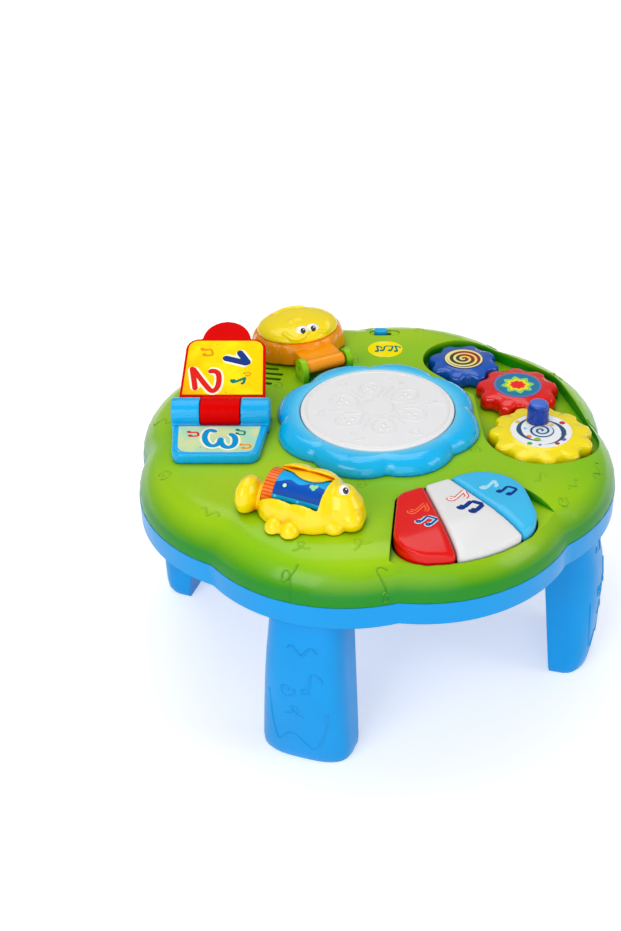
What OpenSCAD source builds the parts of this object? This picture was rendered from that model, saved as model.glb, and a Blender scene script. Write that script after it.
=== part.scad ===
// Musical activity table: a lobed play deck on four plug-in legs, with a drum,
// three keys, a gear train, a lion flap, a flip book and a picture roller.
// Millimetres. The origin is on the floor below the middle of the casing,
// with the keys at the front (-Y) and the gears on the right (+X).

/* [Casing] */
// Height of the play deck above the floor
deck_z = 162; // [156:1:170]
// Height of the joint between the upper and the lower casing
seam_z = 135; // [132:0.5:138]
// Height of the underside of the lower casing
base_z = 119.5; // [112:0.5:122]
// Distance from the middle to the centre of each rim lobe's arc
lobe_offset = 62; // [56:1:66]
// Radius of each rim lobe's arc
lobe_r = 103.3; // [102:0.1:108]
// Wall of both casings
wall = 2.5; // [2:0.1:3]
// Width of the rounded rim, seen from above
rim_roll = 30; // [24:1:34]
// Shift of the drum and the play pieces to the right of the middle
play_x = 2.5; // [0:0.5:4]
// Shift of the drum and the play pieces to the back of the middle
play_y = 1.5; // [0:0.5:3]

/* [Legs] */
// Distance from the middle to the flat inner face of a foot
foot_in = 137; // [132:1:140]
// Distance from the middle to that face at the top of a leg
leg_top_in = 124; // [120:1:125]
// Distance from the middle to the round outer face at the top of a leg
leg_top_out = 151; // [150:1:153]
// Distance from the middle to the outer face where a leg bulges most
leg_bulge_out = 164; // [158:1:165]
// Distance from the middle to the outer face of a foot
foot_out = 161; // [156:1:162]
// Half the width of a foot
foot_half = 31.5; // [28:0.5:34]
// Half the width of a leg at its top
leg_top_half = 24.5; // [22:0.5:26]
// Radius of the plug on top of a leg
plug_r = 13; // [11:0.5:14]
// Length of the plug on top of a leg
plug_h = 13; // [8:0.5:13]
// Distance from the middle to the centre of a plug
plug_at = 136; // [134:0.5:137]
// Clearance between a plug and its socket
plug_gap = 0.3; // [0.2:0.05:0.5]

/* [Drum] */
// Radius of the drum head
head_r = 52.4; // [50:0.1:53]
// Height of the drum head's face above the deck
head_rise = 12; // [10:0.5:14]
// How far the drum head goes down when it is hit
head_travel = 1.5; // [1:0.1:2]
// Clearance around the drum head
head_gap = 0.6; // [0.4:0.1:0.8]
// Distance from the drum's centre to the centre of each ring lobe's arc
ring_lobe_offset = 35.8; // [34:0.1:37]
// Radius of each ring lobe's arc
ring_lobe_r = 35.2; // [34:0.1:36]
// Height of the ring above the deck
ring_rise = 11; // [9:0.5:12]

/* [Keys] */
// Distance from the casing's front edge to the front of the keys
keys_inset = 12; // [11:0.5:13]
// Radius of the front corners of the key group
keys_corner_r = 20; // [16:0.5:21]
// Radius of the round inner right corner of the key group
keys_round_r = 27.5; // [25:0.5:28.5]
// Gap between neighbouring keys, and between a key and its well
key_gap = 1.1; // [0.8:0.1:1.5]
// Height of the key tops above the deck
key_rise = 4; // [3:0.5:6]
// Angle that a key turns through when it is pressed
key_swing = 3; // [1:0.5:3]

/* [Gears] */
// Teeth of the dark-blue gear
teeth_blue = 8; // [8]
// Teeth of the red gear
teeth_red = 9; // [9]
// Teeth of the yellow gear
teeth_yellow = 11; // [11]
// Gear module, the pitch radius being half of it for each tooth
gear_module = 6.2; // [6:0.05:6.25]
// Thickness of the gears
gear_h = 10; // [8:0.5:11]
// Radius of the gear axles
gear_axle_r = 3; // [2.5:0.1:4]
// Depth of the gear recess below the deck
recess_depth = 11; // [9:0.5:12]
// Clearance of the turning fits
run_gap = 0.06; // [0.02:0.01:0.1]
// Distance of the crank knob from its gear's axle
crank_at = 13.5; // [12:0.5:15]
// Radius of the crank knob
knob_r = 7.5; // [6.5:0.5:8]
// Height of the crank knob
knob_h = 14.5; // [12:0.5:18]

/* [Lion flap] */
// Distance from the drum's centre to the lion's hinge
lion_hinge_y = 77; // [76.5:0.5:78]
// Height of the lion's hinge above the deck
lion_hinge_rise = 9; // [8:0.5:10]
// Half the width of the mane
mane_r = 36.5; // [35:0.5:38]
// Radius of the face
face_r = 31; // [29:0.5:32]
// Height of the face's top above the deck
face_rise = 25.5; // [24:0.5:27]

/* [Flip book] */
// Width of the book's hinge lugs, from side to side
book_w = 66; // [62:1:68]
// Height of the book base above the deck
book_rise = 6.5; // [5:0.5:7]
// Radius of the book's hinge barrel
spine_r = 10; // [9:0.5:10]
// Width of the page's spine
spine_w = 27; // [24:1:30]
// Height of the page, without its roof
page_len = 50; // [44:1:52]
// Width of the page at its hinge
page_w = 59; // [54:1:60]
// Thickness of the page
page_t = 3.6; // [3:0.1:4]
// Angle that the page leans up from the deck at rest
page_lean = 24; // [22:1:28]

/* [Picture roller] */
// Radius of the picture roller
roller_r = 14.5; // [13:0.5:15]
// Length of the picture on the roller
picture_len = 33; // [30:1:35]
// Length of the ribbed grip at the end of the roller
grip_len = 7; // [5:0.5:8]
// Height of the animal's back above the deck
animal_rise = 26; // [25:0.5:28]
// Radius of the hinge pins and the roller axle
pin_r = 1.5; // [1.2:0.1:1.8]

/* [Batteries and screws] */
// Radius of a battery
cell_r = 7.1; // [7:0.1:7.2]
// Length of a battery
cell_len = 49.5; // [49:0.5:50]
// Radius of the casing screws
screw_r = 1.5; // [1.2:0.1:1.8]

/* [Hidden] */
$fn = 64;
rim_lobes = 8;
rim_segments = 80;
e = 0.01;
web_in = 0.04;
beyond = 200;
cap_drop = 2;
under_z = deck_z - wall;
press_gap = 0.02;
rim_min = lobe_reach(180 / rim_lobes, lobe_offset, lobe_r, rim_lobes);

// Legs: height, inner face, outer face and half width of each section
leg_angles = [45, 135, 225, 315];
leg_h = base_z - 0.05;
leg_arc_steps = 16;
foot_round = 2.5;
leg_side_pow = 0.7;
leg_front_pow = 0.5;
plug_flat = 9;
leg_shares = [0, 0.03, 0.08, 0.16, 0.3, 0.5, 0.68, 0.84, 1];
plug_bore_r = 7;

// Drum
cup_r = 59;
cup_floor_z = deck_z - 14;
cup_ledge_z = deck_z - 4;
flange_h = 2;
flange_z = deck_z + 1;
flange_r = head_r + 2.6;
lip_z = flange_z + flange_h + 0.3;
head_top_z = deck_z + head_rise;
board_t = 1.6;

// Keys
keys_centre = [-play_x, -lobe_offset - play_y];
keys_arc_r = lobe_r - keys_inset;
keys_front_left = keys_centre + (keys_arc_r - keys_corner_r + 0.1) * [cos(-116), sin(-116)];
keys_front_right = keys_centre + (keys_arc_r - keys_corner_r + 0.1) * [cos(-72), sin(-72)];
keys_back_left = [-25.5, -93.5];
keys_back_left_r = 9;
keys_back_right = [17, keys_back_left[1] + keys_back_left_r - keys_round_r];
key_top_z = deck_z + key_rise;
key_bottom_z = deck_z - 10;
key_roll_y = -119;
key_front_y = -158;
key_front_z = deck_z - 7;
key_wall = 2.2;
key_hinge = [-76, deck_z - 7];
key_arm_x = [-23, -1.5, 20];
key_arm_w = 12;
key_barrel_r = 4;
key_split_inner = [-11.4, 8];
key_split_outer = [-26, 20.5];
key_split_y = [-85.4, -152];
well_left_from = 0.2;
well_left_over = 1;
well_floor_z = deck_z - 6;
well_right_dir = 2;
well_right_side = [11.7, -39];
arm_slot_from = 18;
arm_slot_len = 13;
bracket_x = [-36, -12, 9.5, 34];
bracket_t = 3;
plunger_y = -128;
plunger_x = [-36, -2, 28];
plunger_r = 3;
plunger_z = deck_z - 14;
dome_h = 3;
dome_board_z = plunger_z - dome_h - 0.4 - (-plunger_y + key_hinge[0]) * sin(key_swing);

// Gears
recess_z = deck_z - recess_depth;
gear_z = recess_z + 0.6;
gear_top_z = gear_z + gear_h;
red_at = [111.7, -3];
blue_dir = 106.2;
yellow_dir = 252.1;
pitch_blue = gear_module * teeth_blue / 2;
pitch_red = gear_module * teeth_red / 2;
pitch_yellow = gear_module * teeth_yellow / 2;
blue_at = red_at + (pitch_red + pitch_blue) * [cos(blue_dir), sin(blue_dir)];
yellow_at = red_at + (pitch_red + pitch_yellow) * [cos(yellow_dir), sin(yellow_dir)];
tooth_h = 2.1;
tooth_gap = 0.45;
gear_rim_w = 4;
gear_hub_w = 2.5;
spoke_t = 1.6;
yellow_phase = -81.6;
red_phase = mesh_phase(yellow_phase, teeth_yellow, teeth_red, yellow_dir - 180);
blue_phase = mesh_phase(red_phase, teeth_red, teeth_blue, blue_dir);
recess_gap = 3.2;
crank_dir = 67;
knob_pin_r = 3;
disc_t = 0.4;
disc_blue_r = 14.4;
disc_red_r = 17;
disc_yellow_r = 20.8;

// Lion
lion_hinge_z = deck_z + lion_hinge_rise;
lion_barrel_r = 5;
lion_barrel_w = 30;
lug_t = 4.5;
lug_r = 7;
lion_x = -3;
mane_y = 122.5;
mane_lobe_off = 20;
mane_lobes = 12;
mane_roll = 6;
mane_squash = 0.82;
mane_z = deck_z + 1.5;
mane_top_z = deck_z + 17;
face_y = 122.5;
face_squash = 0.86;
face_roll = 23;
seat_r = 26;
mane_arm = 21;
lion_eye_r = 3;
lion_eye_mid = -0.4;
lion_eye_x = 4.1;
lion_eye_y = face_y - 18;
lion_eye_z = deck_z + face_rise - 2.7;

// Book, seen along its own right and away directions
book_turn = -27.7;
book_mid = [-106, -3.6];
book_hinge_z = deck_z + spine_r + 0.5;
book_front = -48;
book_corner_r = 8;
book_taper = 3;
book_back = 11;
page_start = spine_r + 1;
page_corner_r = 9;
page_taper = 1.5;
card_in = 3.5;
card_back = 2.5;
roof_r = 17;
roof_h = 15.5;
roof_sink = 3;
card_t = 0.4;

// Animal, seen along its own back and towards its feet
animal_turn = -52;
animal_at = [-91, -71];
roller_side = -4.5;
roller_z = deck_z + 8.5;
body_at = [1, -4];
body_lobe_off = 8;
body_lobe_r = 22.5;
body_squash = 1.07;
body_roll = 17;
shell_t = 2;
head_at = [26, -5];
head_half = [15.5, 14];
snout_at = [35, 0.5];
tail_at = [-32.5, 6];
feet_at = [[-7, 21], [4, 21.5], [27, 7]];
animal_eye_r = 3;
animal_eye_at = [28.8, -3, deck_z + 22.6];
picture_from = -15;
window_lean = 26;
window_half = 13.3;
window_floor = 4;
end_gap = 0.5;
bulkhead_t = 2.5;
bulkhead_lip = 0.3;

// Electronics and power
speaker_way = 115.4;
speaker_in = 50.5;
speaker_at = (rim_min - speaker_in) * [cos(speaker_way), sin(speaker_way)];
speaker_gap = 0.05;
speaker_r = 19;
speaker_h = 7;
slot_dir = -38;
switch_way = 59.87;
switch_in = 28.3;
switch_at = (rim_min - switch_in) * [cos(switch_way), sin(switch_way)];
switch_dir = -27.7;
switch_travel = 6;
label_at = switch_at - [12.2, 23.8];
label_half = [13.2, 12];
bay_at = [14, 24];
bay_size = [59, 50];
bay_wall = 2;
bay_h = 19;
door_t = 2;
door_lip = 8;
door_screw_in = 4;
door_screw_y = bay_size[1] / 2 + door_lip - door_screw_in;
cell_pitch = 15.6;
cell_z = base_z + door_t + 0.3 + cell_r;
main_board = [62, 44];
main_board_at = [-52, -22];
main_board_z = base_z + 18;
boss_at = 142;
boss_angles = [0, 60, 120, 180, 240, 300];
boss_r = 4;
screw_head_r = 2.9;

// ---------------------------------------------------------------- shared shapes

// Angle from the nearest lobe's middle
function lobe_fold(a, n) = a - 360 / n * round(a * n / 360);

// Distance from the middle to a lobed outline at angle a
function lobe_reach(a, off, r, n) =
    let (p = lobe_fold(a, n))
    off * cos(p) + sqrt(r * r - pow(off * sin(p), 2));

function dome_ring(off, r, n, seg, cut, z, squash) = [
    for (i = [0:seg - 1])
        let (a = 360 * i / seg, q = lobe_reach(a, off, r, n) - cut)
        [q * cos(a), squash * q * sin(a), z]
];

function ring_sides(rows, seg) = [
    for (k = [0:rows - 2], i = [0:seg - 1])
        let (j = (i + 1) % seg, a = k * seg, b = a + seg)
        each [[a + i, b + i, a + j], [a + j, b + i, b + j]]
];

// Closed stack of rings of seg points each
module ring_stack(points, rows, seg) {
    low = [for (i = [0:seg - 1]) i];
    high = [for (i = [seg - 1:-1:0]) (rows - 1) * seg + i];
    polyhedron(points = points, faces = concat([low], ring_sides(rows, seg), [high]), convexity = 8);
}

// Solid with a lobed outline whose edge rolls over from z0 up to a flat top at z1
module lobed_dome(off, r, n, z0, z1, roll, seg, steps, inset = 0, drop = 0, squash = 1) {
    rows = concat(
        drop > 0 ? [[inset, z0 - drop]] : [],
        [
            for (k = [drop > 0 ? 1 : 0:steps])
                let (t = 90 * k / steps)
                [inset + roll * (1 - cos(t)), z0 + (z1 - z0) * sin(t)]
        ]
    );
    points = [for (row = rows) each dome_ring(off, r, n, seg, row[0], row[1], squash)];
    ring_stack(points, len(rows), seg);
}

// Outer tangent points of two circles on the left (side = 1) or the right (side = -1)
function tangent(p, rp, q, rq, side) =
    let (
        dir = atan2(q[1] - p[1], q[0] - p[0]),
        turn = dir + side * acos((rp - rq) / norm(q - p)),
        n = [cos(turn), sin(turn)]
    )
    [p + rp * n, q + rq * n];

// Strip between two circles, just inside their outer tangents
module belt_web(p, rp, q, rq) {
    left = tangent(p, rp - web_in, q, rq - web_in, 1);
    right = tangent(p, rp - web_in, q, rq - web_in, -1);
    polygon([left[0], right[0], right[1], left[1]]);
}

module belt(p, rp, q, rq) {
    translate(p) circle(rp);
    translate(q) circle(rq);
    belt_web(p, rp, q, rq);
}

module rim_outline(inset = 0) {
    for (i = [0:rim_lobes - 1])
        rotate(360 * i / rim_lobes)
            translate([lobe_offset, 0]) circle(lobe_r - inset, $fn = 96);
}

module play() {
    translate([play_x, play_y, 0]) children();
}

module book_frame() {
    play() rotate(book_turn) translate([book_mid[0], book_mid[1], 0]) children();
}

module animal_frame() {
    play() translate([animal_at[0], animal_at[1], 0]) rotate(animal_turn) mirror([0, 1, 0]) children();
}

module tube(r_out, r_in, z0, z1) {
    translate([0, 0, z0]) difference() {
        cylinder(r = r_out, h = z1 - z0);
        translate([0, 0, -1]) cylinder(r = r_in, h = z1 - z0 + 2);
    }
}

// Round bar along X from x0 to x1
module bar_x(r, x0, x1) {
    translate([x0, 0, 0]) rotate([0, 90, 0]) cylinder(r = r, h = x1 - x0);
}

// ---------------------------------------------------------------- casings

module casing_block(inset = 0, drop = 0) {
    lobed_dome(lobe_offset, lobe_r, rim_lobes, seam_z, deck_z - inset, rim_roll, rim_segments, 7, inset, drop);
}

module recess_outline(grow = 0) {
    tip_blue = pitch_blue + tooth_h + recess_gap + grow;
    tip_red = pitch_red + tooth_h + recess_gap + grow;
    tip_yellow = pitch_yellow + tooth_h + recess_gap + grow;
    belt(blue_at, tip_blue, red_at, tip_red);
    belt_web(red_at, tip_red, yellow_at, tip_yellow);
    translate(yellow_at) circle(tip_yellow);
}

module keys_outline(grow = 0) {
    corner = keys_corner_r + grow;
    back_left = keys_back_left_r + grow;
    back_right = keys_round_r + grow;
    translate(keys_front_left) circle(corner);
    translate(keys_front_right) circle(corner);
    translate(keys_back_left) circle(back_left);
    translate(keys_back_right) circle(back_right);
    belt_web(keys_back_left, back_left, keys_front_left, corner);
    belt_web(keys_front_right, corner, keys_back_right, back_right);
    belt_web(keys_back_right, back_right, keys_back_left, back_left);
    polygon([keys_back_left, keys_front_left, keys_front_right, keys_back_right]);
    keys_front(grow, keys_front_left, keys_front_right);
}

// Part inside the front arc, between a left and a right point
module keys_front(grow, left, right) {
    intersection() {
        translate(keys_centre) circle(keys_arc_r + grow, $fn = 96);
        polygon([left, right, 2 * right - keys_centre, 2 * left - keys_centre]);
    }
}

// The well runs out into square corners at the front
module keys_well(grow) {
    left = tangent(keys_back_left, keys_back_left_r + grow, keys_front_left, keys_corner_r + grow, -1);
    side = left[1] - left[0];
    right = keys_back_right + (keys_round_r + grow - web_in) * [cos(well_right_dir), sin(well_right_dir)];
    keys_outline(grow);
    intersection() {
        translate(keys_centre) circle(keys_arc_r + grow, $fn = 96);
        polygon([
            keys_back_left, left[0] + well_left_from * side, left[1] + well_left_over * side,
            [0, -beyond], right + well_right_side, right, keys_back_right
        ]);
    }
}

module roller_hole() {
    x0 = picture_from - grip_len - end_gap;
    x1 = picture_from + picture_len + end_gap;
    animal_frame() translate([x0, roller_side - roller_r - 1])
        square([x1 - x0, 2 * (roller_r + 1)]);
}

module speaker_slots() {
    play() translate([speaker_at[0], speaker_at[1], 0]) rotate(slot_dir)
        for (i = [-1.5:1:1.5])
            translate([4 - abs(i) * 2, i * 7, under_z - 1]) linear_extrude(wall + 2)
                belt([-14 + abs(i) * 3, 0], 1.4, [14 - abs(i) * 3, 0], 1.6, $fn = 24);
}

module lion_lug(x) {
    translate([x, lion_hinge_y, 0]) {
        translate([0, 0, lion_hinge_z]) bar_x(lug_r, 0, lug_t);
        translate([0, -lug_r, under_z]) cube([lug_t, 2 * lug_r, lion_hinge_z - under_z]);
    }
}

module deck_posts() {
    for (x = bracket_x)
        translate([x - bracket_t / 2, key_hinge[0] - 5, key_hinge[1] - 5])
            cube([bracket_t, 10, under_z - key_hinge[1] + 5 + e]);
    translate([switch_at[0], switch_at[1], 0]) rotate(switch_dir)
        for (x = [-12, 12])
            translate([x, 0, under_z - 6]) cylinder(r = 2.2, h = 6 + e);
    translate([speaker_at[0], speaker_at[1], 0])
        tube(speaker_r + 2.4, speaker_r + 0.3, under_z - speaker_h, under_z + e);
}

module casing_boss_solids(z0, z1) {
    for (a = boss_angles)
        rotate(a) translate([boss_at, 0, z0]) cylinder(r = boss_r, h = z1 - z0);
}

// Everything that reaches down into the upper casing's hollow
module top_shell_blocks() {
    play() {
        translate([0, 0, recess_z - 2.2]) linear_extrude(deck_z) recess_outline(2.2);
        translate([0, 0, key_bottom_z - 2]) linear_extrude(deck_z) keys_well(key_gap + 2.2);
        translate([0, 0, cup_floor_z - 2]) cylinder(r = cup_r + 2.2, h = deck_z);
        deck_posts();
    }
    casing_boss_solids(seam_z - 2, deck_z);
}

module top_shell() {
    color("yellowgreen") difference() {
        union() {
            difference() {
                casing_block(0, cap_drop);
                centred_box(2 * [beyond, beyond], seam_z - 4 * cap_drop, seam_z);
                difference() {
                    casing_block(wall, 2 * cap_drop);
                    top_shell_blocks();
                }
            }
            play() {
                lion_lug(lion_x - lion_barrel_w / 2 - lug_t - 0.4);
                lion_lug(lion_x + lion_barrel_w / 2 + 0.4);
                translate([lion_x, mane_y, 0]) tube(seat_r, seat_r - 2, under_z, deck_z + 3.5);
            }
        }
        play() {
            translate([0, 0, recess_z]) linear_extrude(deck_z) recess_outline();
            translate([0, 0, key_bottom_z - 3]) linear_extrude(deck_z) keys_outline(key_gap);
            translate([0, 0, well_floor_z]) linear_extrude(deck_z) keys_well(key_gap);
            translate([bracket_x[0] + bracket_t, key_hinge[0] - arm_slot_from, key_bottom_z - 4])
                cube([bracket_x[3] - bracket_x[0] - 2 * bracket_t, arm_slot_len, under_z - key_bottom_z + 4]);
            translate([0, 0, cup_ledge_z]) cylinder(r = cup_r, h = deck_z);
            translate([0, 0, cup_floor_z]) cylinder(r = cup_r - 13, h = deck_z);
            for (at = [blue_at, red_at, yellow_at])
                translate([at[0], at[1], recess_z - 3]) cylinder(r = gear_axle_r + press_gap, h = 4);
            key_pivot_bore();
            translate([lion_x, lion_hinge_y, lion_hinge_z]) bar_x(pin_r, -lion_barrel_w, lion_barrel_w);
            translate([switch_at[0], switch_at[1], 0]) rotate(switch_dir) {
                translate([-7, -4.6, deck_z - 1.2]) linear_extrude(5)
                    belt([0, 4.6], 4.6, [14, 4.6], 4.6);
                translate([-5, -1.8, under_z - 1]) cube([10, 3.6, 9]);
            }
        }
        translate([0, 0, under_z - 1]) linear_extrude(wall + 2) roller_hole();
        speaker_slots();
        for (a = boss_angles)
            rotate(a) translate([boss_at, 0, seam_z - 1]) cylinder(r = screw_r, h = 12);
    }
}

module plug_outline(grow = 0) {
    intersection() {
        translate([plug_at, 0]) circle(plug_r + grow);
        translate([plug_at - plug_flat - grow, -plug_r - grow]) square([3 * plug_r, 2 * (plug_r + grow)]);
    }
}

module bay_corner() {
    play() translate([bay_at[0], bay_at[1], 0]) children();
}

module centred_box(size, z0, z1) {
    translate([-size[0] / 2, -size[1] / 2, z0]) cube([size[0], size[1], z1 - z0]);
}

module bottom_shell() {
    color("dodgerblue") difference() {
        union() {
            difference() {
                translate([0, 0, base_z]) linear_extrude(seam_z - base_z) rim_outline();
                translate([0, 0, base_z + wall]) linear_extrude(seam_z) rim_outline(wall);
            }
            for (a = leg_angles)
                rotate(a) translate([0, 0, base_z]) linear_extrude(plug_h + 2.2)
                    plug_outline(plug_gap + 2.2);
            bay_corner() {
                centred_box(bay_size + 2 * [bay_wall, bay_wall], base_z, base_z + bay_h + bay_wall);
                centred_box(bay_size + 2 * [bay_wall, door_lip + bay_wall], base_z, base_z + door_t + wall);
                translate([0, door_screw_y, base_z]) cylinder(r = boss_r, h = 12);
            }
            casing_boss_solids(base_z, seam_z);
            play() translate([main_board_at[0], main_board_at[1], base_z])
                for (x = [-1, 1], y = [-1, 1])
                    translate([x * (main_board[0] / 2 - 4), y * (main_board[1] / 2 - 4), 0])
                        cylinder(r = 3, h = main_board_z - base_z);
            play() for (x = plunger_x)
                translate([x, plunger_y, base_z]) cylinder(r = 3, h = dome_board_z - board_t - base_z);
        }
        for (a = leg_angles)
            rotate(a) translate([0, 0, base_z - 1]) linear_extrude(plug_h + 1.3) plug_outline(plug_gap);
        bay_corner() {
            centred_box(bay_size, base_z + door_t, base_z + bay_h);
            centred_box(bay_size + 2 * [0, door_lip], base_z - 1, base_z + door_t);
            translate([0, door_screw_y, base_z - 1]) cylinder(r = screw_r, h = 11);
        }
        for (a = boss_angles) rotate(a) {
            translate([boss_at, 0, base_z - 1]) cylinder(r = screw_r + 0.3, h = seam_z - base_z + 2);
            translate([boss_at, 0, base_z - 1]) cylinder(r = screw_head_r + 0.3, h = 4);
        }
    }
}

module casing_screws() {
    color("silver") for (a = boss_angles) rotate(a) translate([boss_at, 0, 0]) {
        translate([0, 0, base_z + 1]) cylinder(r = screw_head_r, h = 2);
        translate([0, 0, base_z + 2]) cylinder(r = screw_r - press_gap, h = seam_z + 8 - base_z);
    }
}

module battery_door() {
    gap = 0.3;
    color("deepskyblue") bay_corner() difference() {
        centred_box(bay_size + 2 * [-gap, door_lip - gap], base_z, base_z + door_t - 0.1);
        for (i = [-2:1:2])
            translate([-14, i * 3 - 0.6, base_z - 1]) cube([28, 1.2, 1.6]);
        translate([0, door_screw_y, base_z - 1]) cylinder(r = screw_r + 0.2, h = 5);
        translate([0, door_screw_y, base_z - 1]) cylinder(r = screw_head_r + 0.2, h = 2);
    }
}

module battery_door_screw() {
    color("silver") bay_corner() translate([0, door_screw_y, base_z]) {
        cylinder(r = screw_head_r, h = 1);
        cylinder(r = screw_r - press_gap, h = 9);
    }
}

module batteries() {
    color("dimgray") bay_corner() for (i = [-1:1])
        translate([0, i * cell_pitch, cell_z]) rotate(i == 0 ? 180 : 0) {
            bar_x(cell_r, -cell_len / 2, cell_len / 2);
            bar_x(2.7, cell_len / 2 - 1, cell_len / 2 + 1);
        }
}

module battery_contacts() {
    end = bay_size[0] / 2;
    color("gainsboro") bay_corner() for (i = [-1:1])
        translate([0, i * cell_pitch, cell_z]) rotate(i == 0 ? 180 : 0) {
            translate([end - 0.8, -5, -5]) cube([0.6, 10, 10]);
            bar_x(2.2, cell_len / 2 + 1.1, end - 0.7);
            translate([-end + 0.2, -5, -5]) cube([0.6, 10, 10]);
            bar_x(4, -end + 0.7, -cell_len / 2 - 0.1);
        }
}

// ---------------------------------------------------------------- legs

// Section of a leg at height share s: height, inner face, outer face, half width
function leg_section(s, inset) =
    let (
        inner = foot_in + (leg_top_in - foot_in) * s,
        flare = s < 0.5 ? foot_out + (leg_bulge_out - foot_out) * sin(180 * s)
            : leg_top_out + (leg_bulge_out - leg_top_out) * sin(180 * s),
        half = foot_half + (leg_top_half - foot_half) * s,
        cut = foot_round * (1 - sqrt(1 - pow(1 - min(1, s / 0.08), 2)))
    )
    [inset + s * (leg_h - 2 * inset), inner + inset, flare - cut - inset, half - cut - inset];

function leg_ring(sec) = [
    for (i = [0:leg_arc_steps])
        let (a = -90 + 180 * i / leg_arc_steps)
        [
            sec[1] + (sec[2] - sec[1]) * pow(cos(a), leg_front_pow),
            sec[3] * sign(a) * pow(abs(sin(a)), leg_side_pow),
            sec[0]
        ]
];

module leg_body(inset = 0) {
    points = [for (s = leg_shares) each leg_ring(leg_section(s, inset))];
    ring_stack(points, len(leg_shares), leg_arc_steps + 1);
}

module leg(angle) {
    color("dodgerblue") rotate(angle) difference() {
        union() {
            leg_body();
            translate([0, 0, leg_h - 1]) linear_extrude(plug_h + 1) plug_outline();
        }
        leg_body(wall);
        translate([plug_at, 0, leg_h - wall - 1]) cylinder(r = plug_bore_r, h = plug_h + wall + 2);
    }
}

// ---------------------------------------------------------------- drum

module drum_ring() {
    color("deepskyblue") play() difference() {
        union() {
            lobed_dome(
                ring_lobe_offset, ring_lobe_r, rim_lobes, deck_z, deck_z + ring_rise,
                ring_rise, rim_segments, 5
            );
            translate([0, 0, cup_ledge_z + 0.5]) cylinder(r = cup_r - 0.3, h = deck_z - cup_ledge_z);
        }
        translate([0, 0, deck_z - 10]) cylinder(r = head_r + head_gap, h = 40);
        translate([0, 0, deck_z - 10]) cylinder(r = flange_r + head_gap, h = lip_z - deck_z + 10);
    }
}

module drum_head() {
    color("white") play() {
        translate([0, 0, head_top_z - 2.5]) cylinder(r = head_r, h = 2.5);
        tube(head_r, head_r - 2.5, flange_z, head_top_z - 1);
        tube(flange_r, head_r - 2.5, flange_z, flange_z + flange_h);
    }
}

module drum_foam_ring() {
    color("dimgray") play() tube(head_r + 1, head_r - 5, cup_ledge_z, flange_z);
}

module light_board() {
    color("seagreen") play() translate([0, 0, cup_floor_z]) cylinder(r = cup_r - 15, h = board_t);
}

module drum_leds() {
    color("orange") play() for (a = [45:90:315])
        rotate(a) translate([24, 0, cup_floor_z + board_t]) {
            cylinder(r = 2.5, h = 5);
            translate([0, 0, 5]) sphere(r = 2.5, $fn = 24);
        }
}

// ---------------------------------------------------------------- keys

// The slice of the key group that belongs to one key, grow being its margin
module key_slice(index, grow) {
    edge = 90;
    y0 = key_split_y[0];
    y1 = key_split_y[1];
    left = index == 0 ? [-edge, -edge] : [key_split_inner[index - 1], key_split_outer[index - 1]];
    right = index == 2 ? [edge, edge] : [key_split_inner[index], key_split_outer[index]];
    ext = 0.5;
    l0 = left[0] - (left[1] - left[0]) * ext;
    l1 = left[1] + (left[1] - left[0]) * ext;
    r0 = right[0] - (right[1] - right[0]) * ext;
    r1 = right[1] + (right[1] - right[0]) * ext;
    dy = (y1 - y0) * ext;
    intersection() {
        keys_outline(grow);
        polygon([
            [l0 - grow + key_gap / 2, y0 - dy],
            [l1 - grow + key_gap / 2, y1 + dy],
            [r1 + grow - key_gap / 2, y1 + dy],
            [r0 + grow - key_gap / 2, y0 - dy]
        ]);
    }
}

// Side view of a key: level at the back, rolling down to the front
module key_side(drop) {
    reach = key_roll_y - key_front_y;
    fall = key_top_z - key_front_z;
    polygon(concat(
        [[key_hinge[0] + 20, key_bottom_z - 2], [key_hinge[0] + 20, key_top_z - drop]],
        [for (a = [0:10:90]) [key_roll_y - reach * sin(a), key_front_z + fall * cos(a) - drop]],
        [[key_front_y, key_bottom_z - 2]]
    ));
}

module key_solid(index, grow, drop) {
    intersection() {
        translate([0, 0, key_bottom_z]) linear_extrude(key_top_z) key_slice(index, grow);
        rotate([90, 0, 90]) translate([0, 0, -100]) linear_extrude(200) key_side(drop);
    }
}

module key(index) {
    arm_x = key_arm_x[index];
    play() difference() {
        union() {
            difference() {
                key_solid(index, 0, 0);
                translate([0, 0, -e]) key_solid(index, -key_wall, key_wall);
            }
            translate([arm_x - key_arm_w / 2, key_hinge[0] - 14, key_hinge[1] - 2.5])
                cube([key_arm_w, 14, 5]);
            translate([0, key_hinge[0], key_hinge[1]])
                bar_x(key_barrel_r, arm_x - key_arm_w / 2, arm_x + key_arm_w / 2);
            translate([plunger_x[index], plunger_y, plunger_z])
                cylinder(r = plunger_r, h = key_top_z - 1 - plunger_z);
        }
        key_pivot_bore();
    }
}

module key_pivot_bore() {
    translate([0, key_hinge[0], key_hinge[1]])
        bar_x(pin_r + run_gap, bracket_x[0] - 2 * bracket_t, bracket_x[3] + 2 * bracket_t);
}

module key_pivot_pin() {
    color("silver") play() translate([0, key_hinge[0], key_hinge[1]])
        bar_x(pin_r, bracket_x[0] - bracket_t, bracket_x[3] + bracket_t);
}

module key_board() {
    color("seagreen") play() translate([plunger_x[0] - 8, plunger_y - 8, dome_board_z - board_t])
        cube([plunger_x[2] - plunger_x[0] + 16, 16, board_t]);
}

module key_domes() {
    color("lightgray") play() for (x = plunger_x)
        translate([x, plunger_y, dome_board_z]) {
            cylinder(r = 5.5, h = 1);
            translate([0, 0, 1]) cylinder(r1 = 4.5, r2 = 3.2, h = dome_h - 1);
        }
}

// ---------------------------------------------------------------- gears

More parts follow.
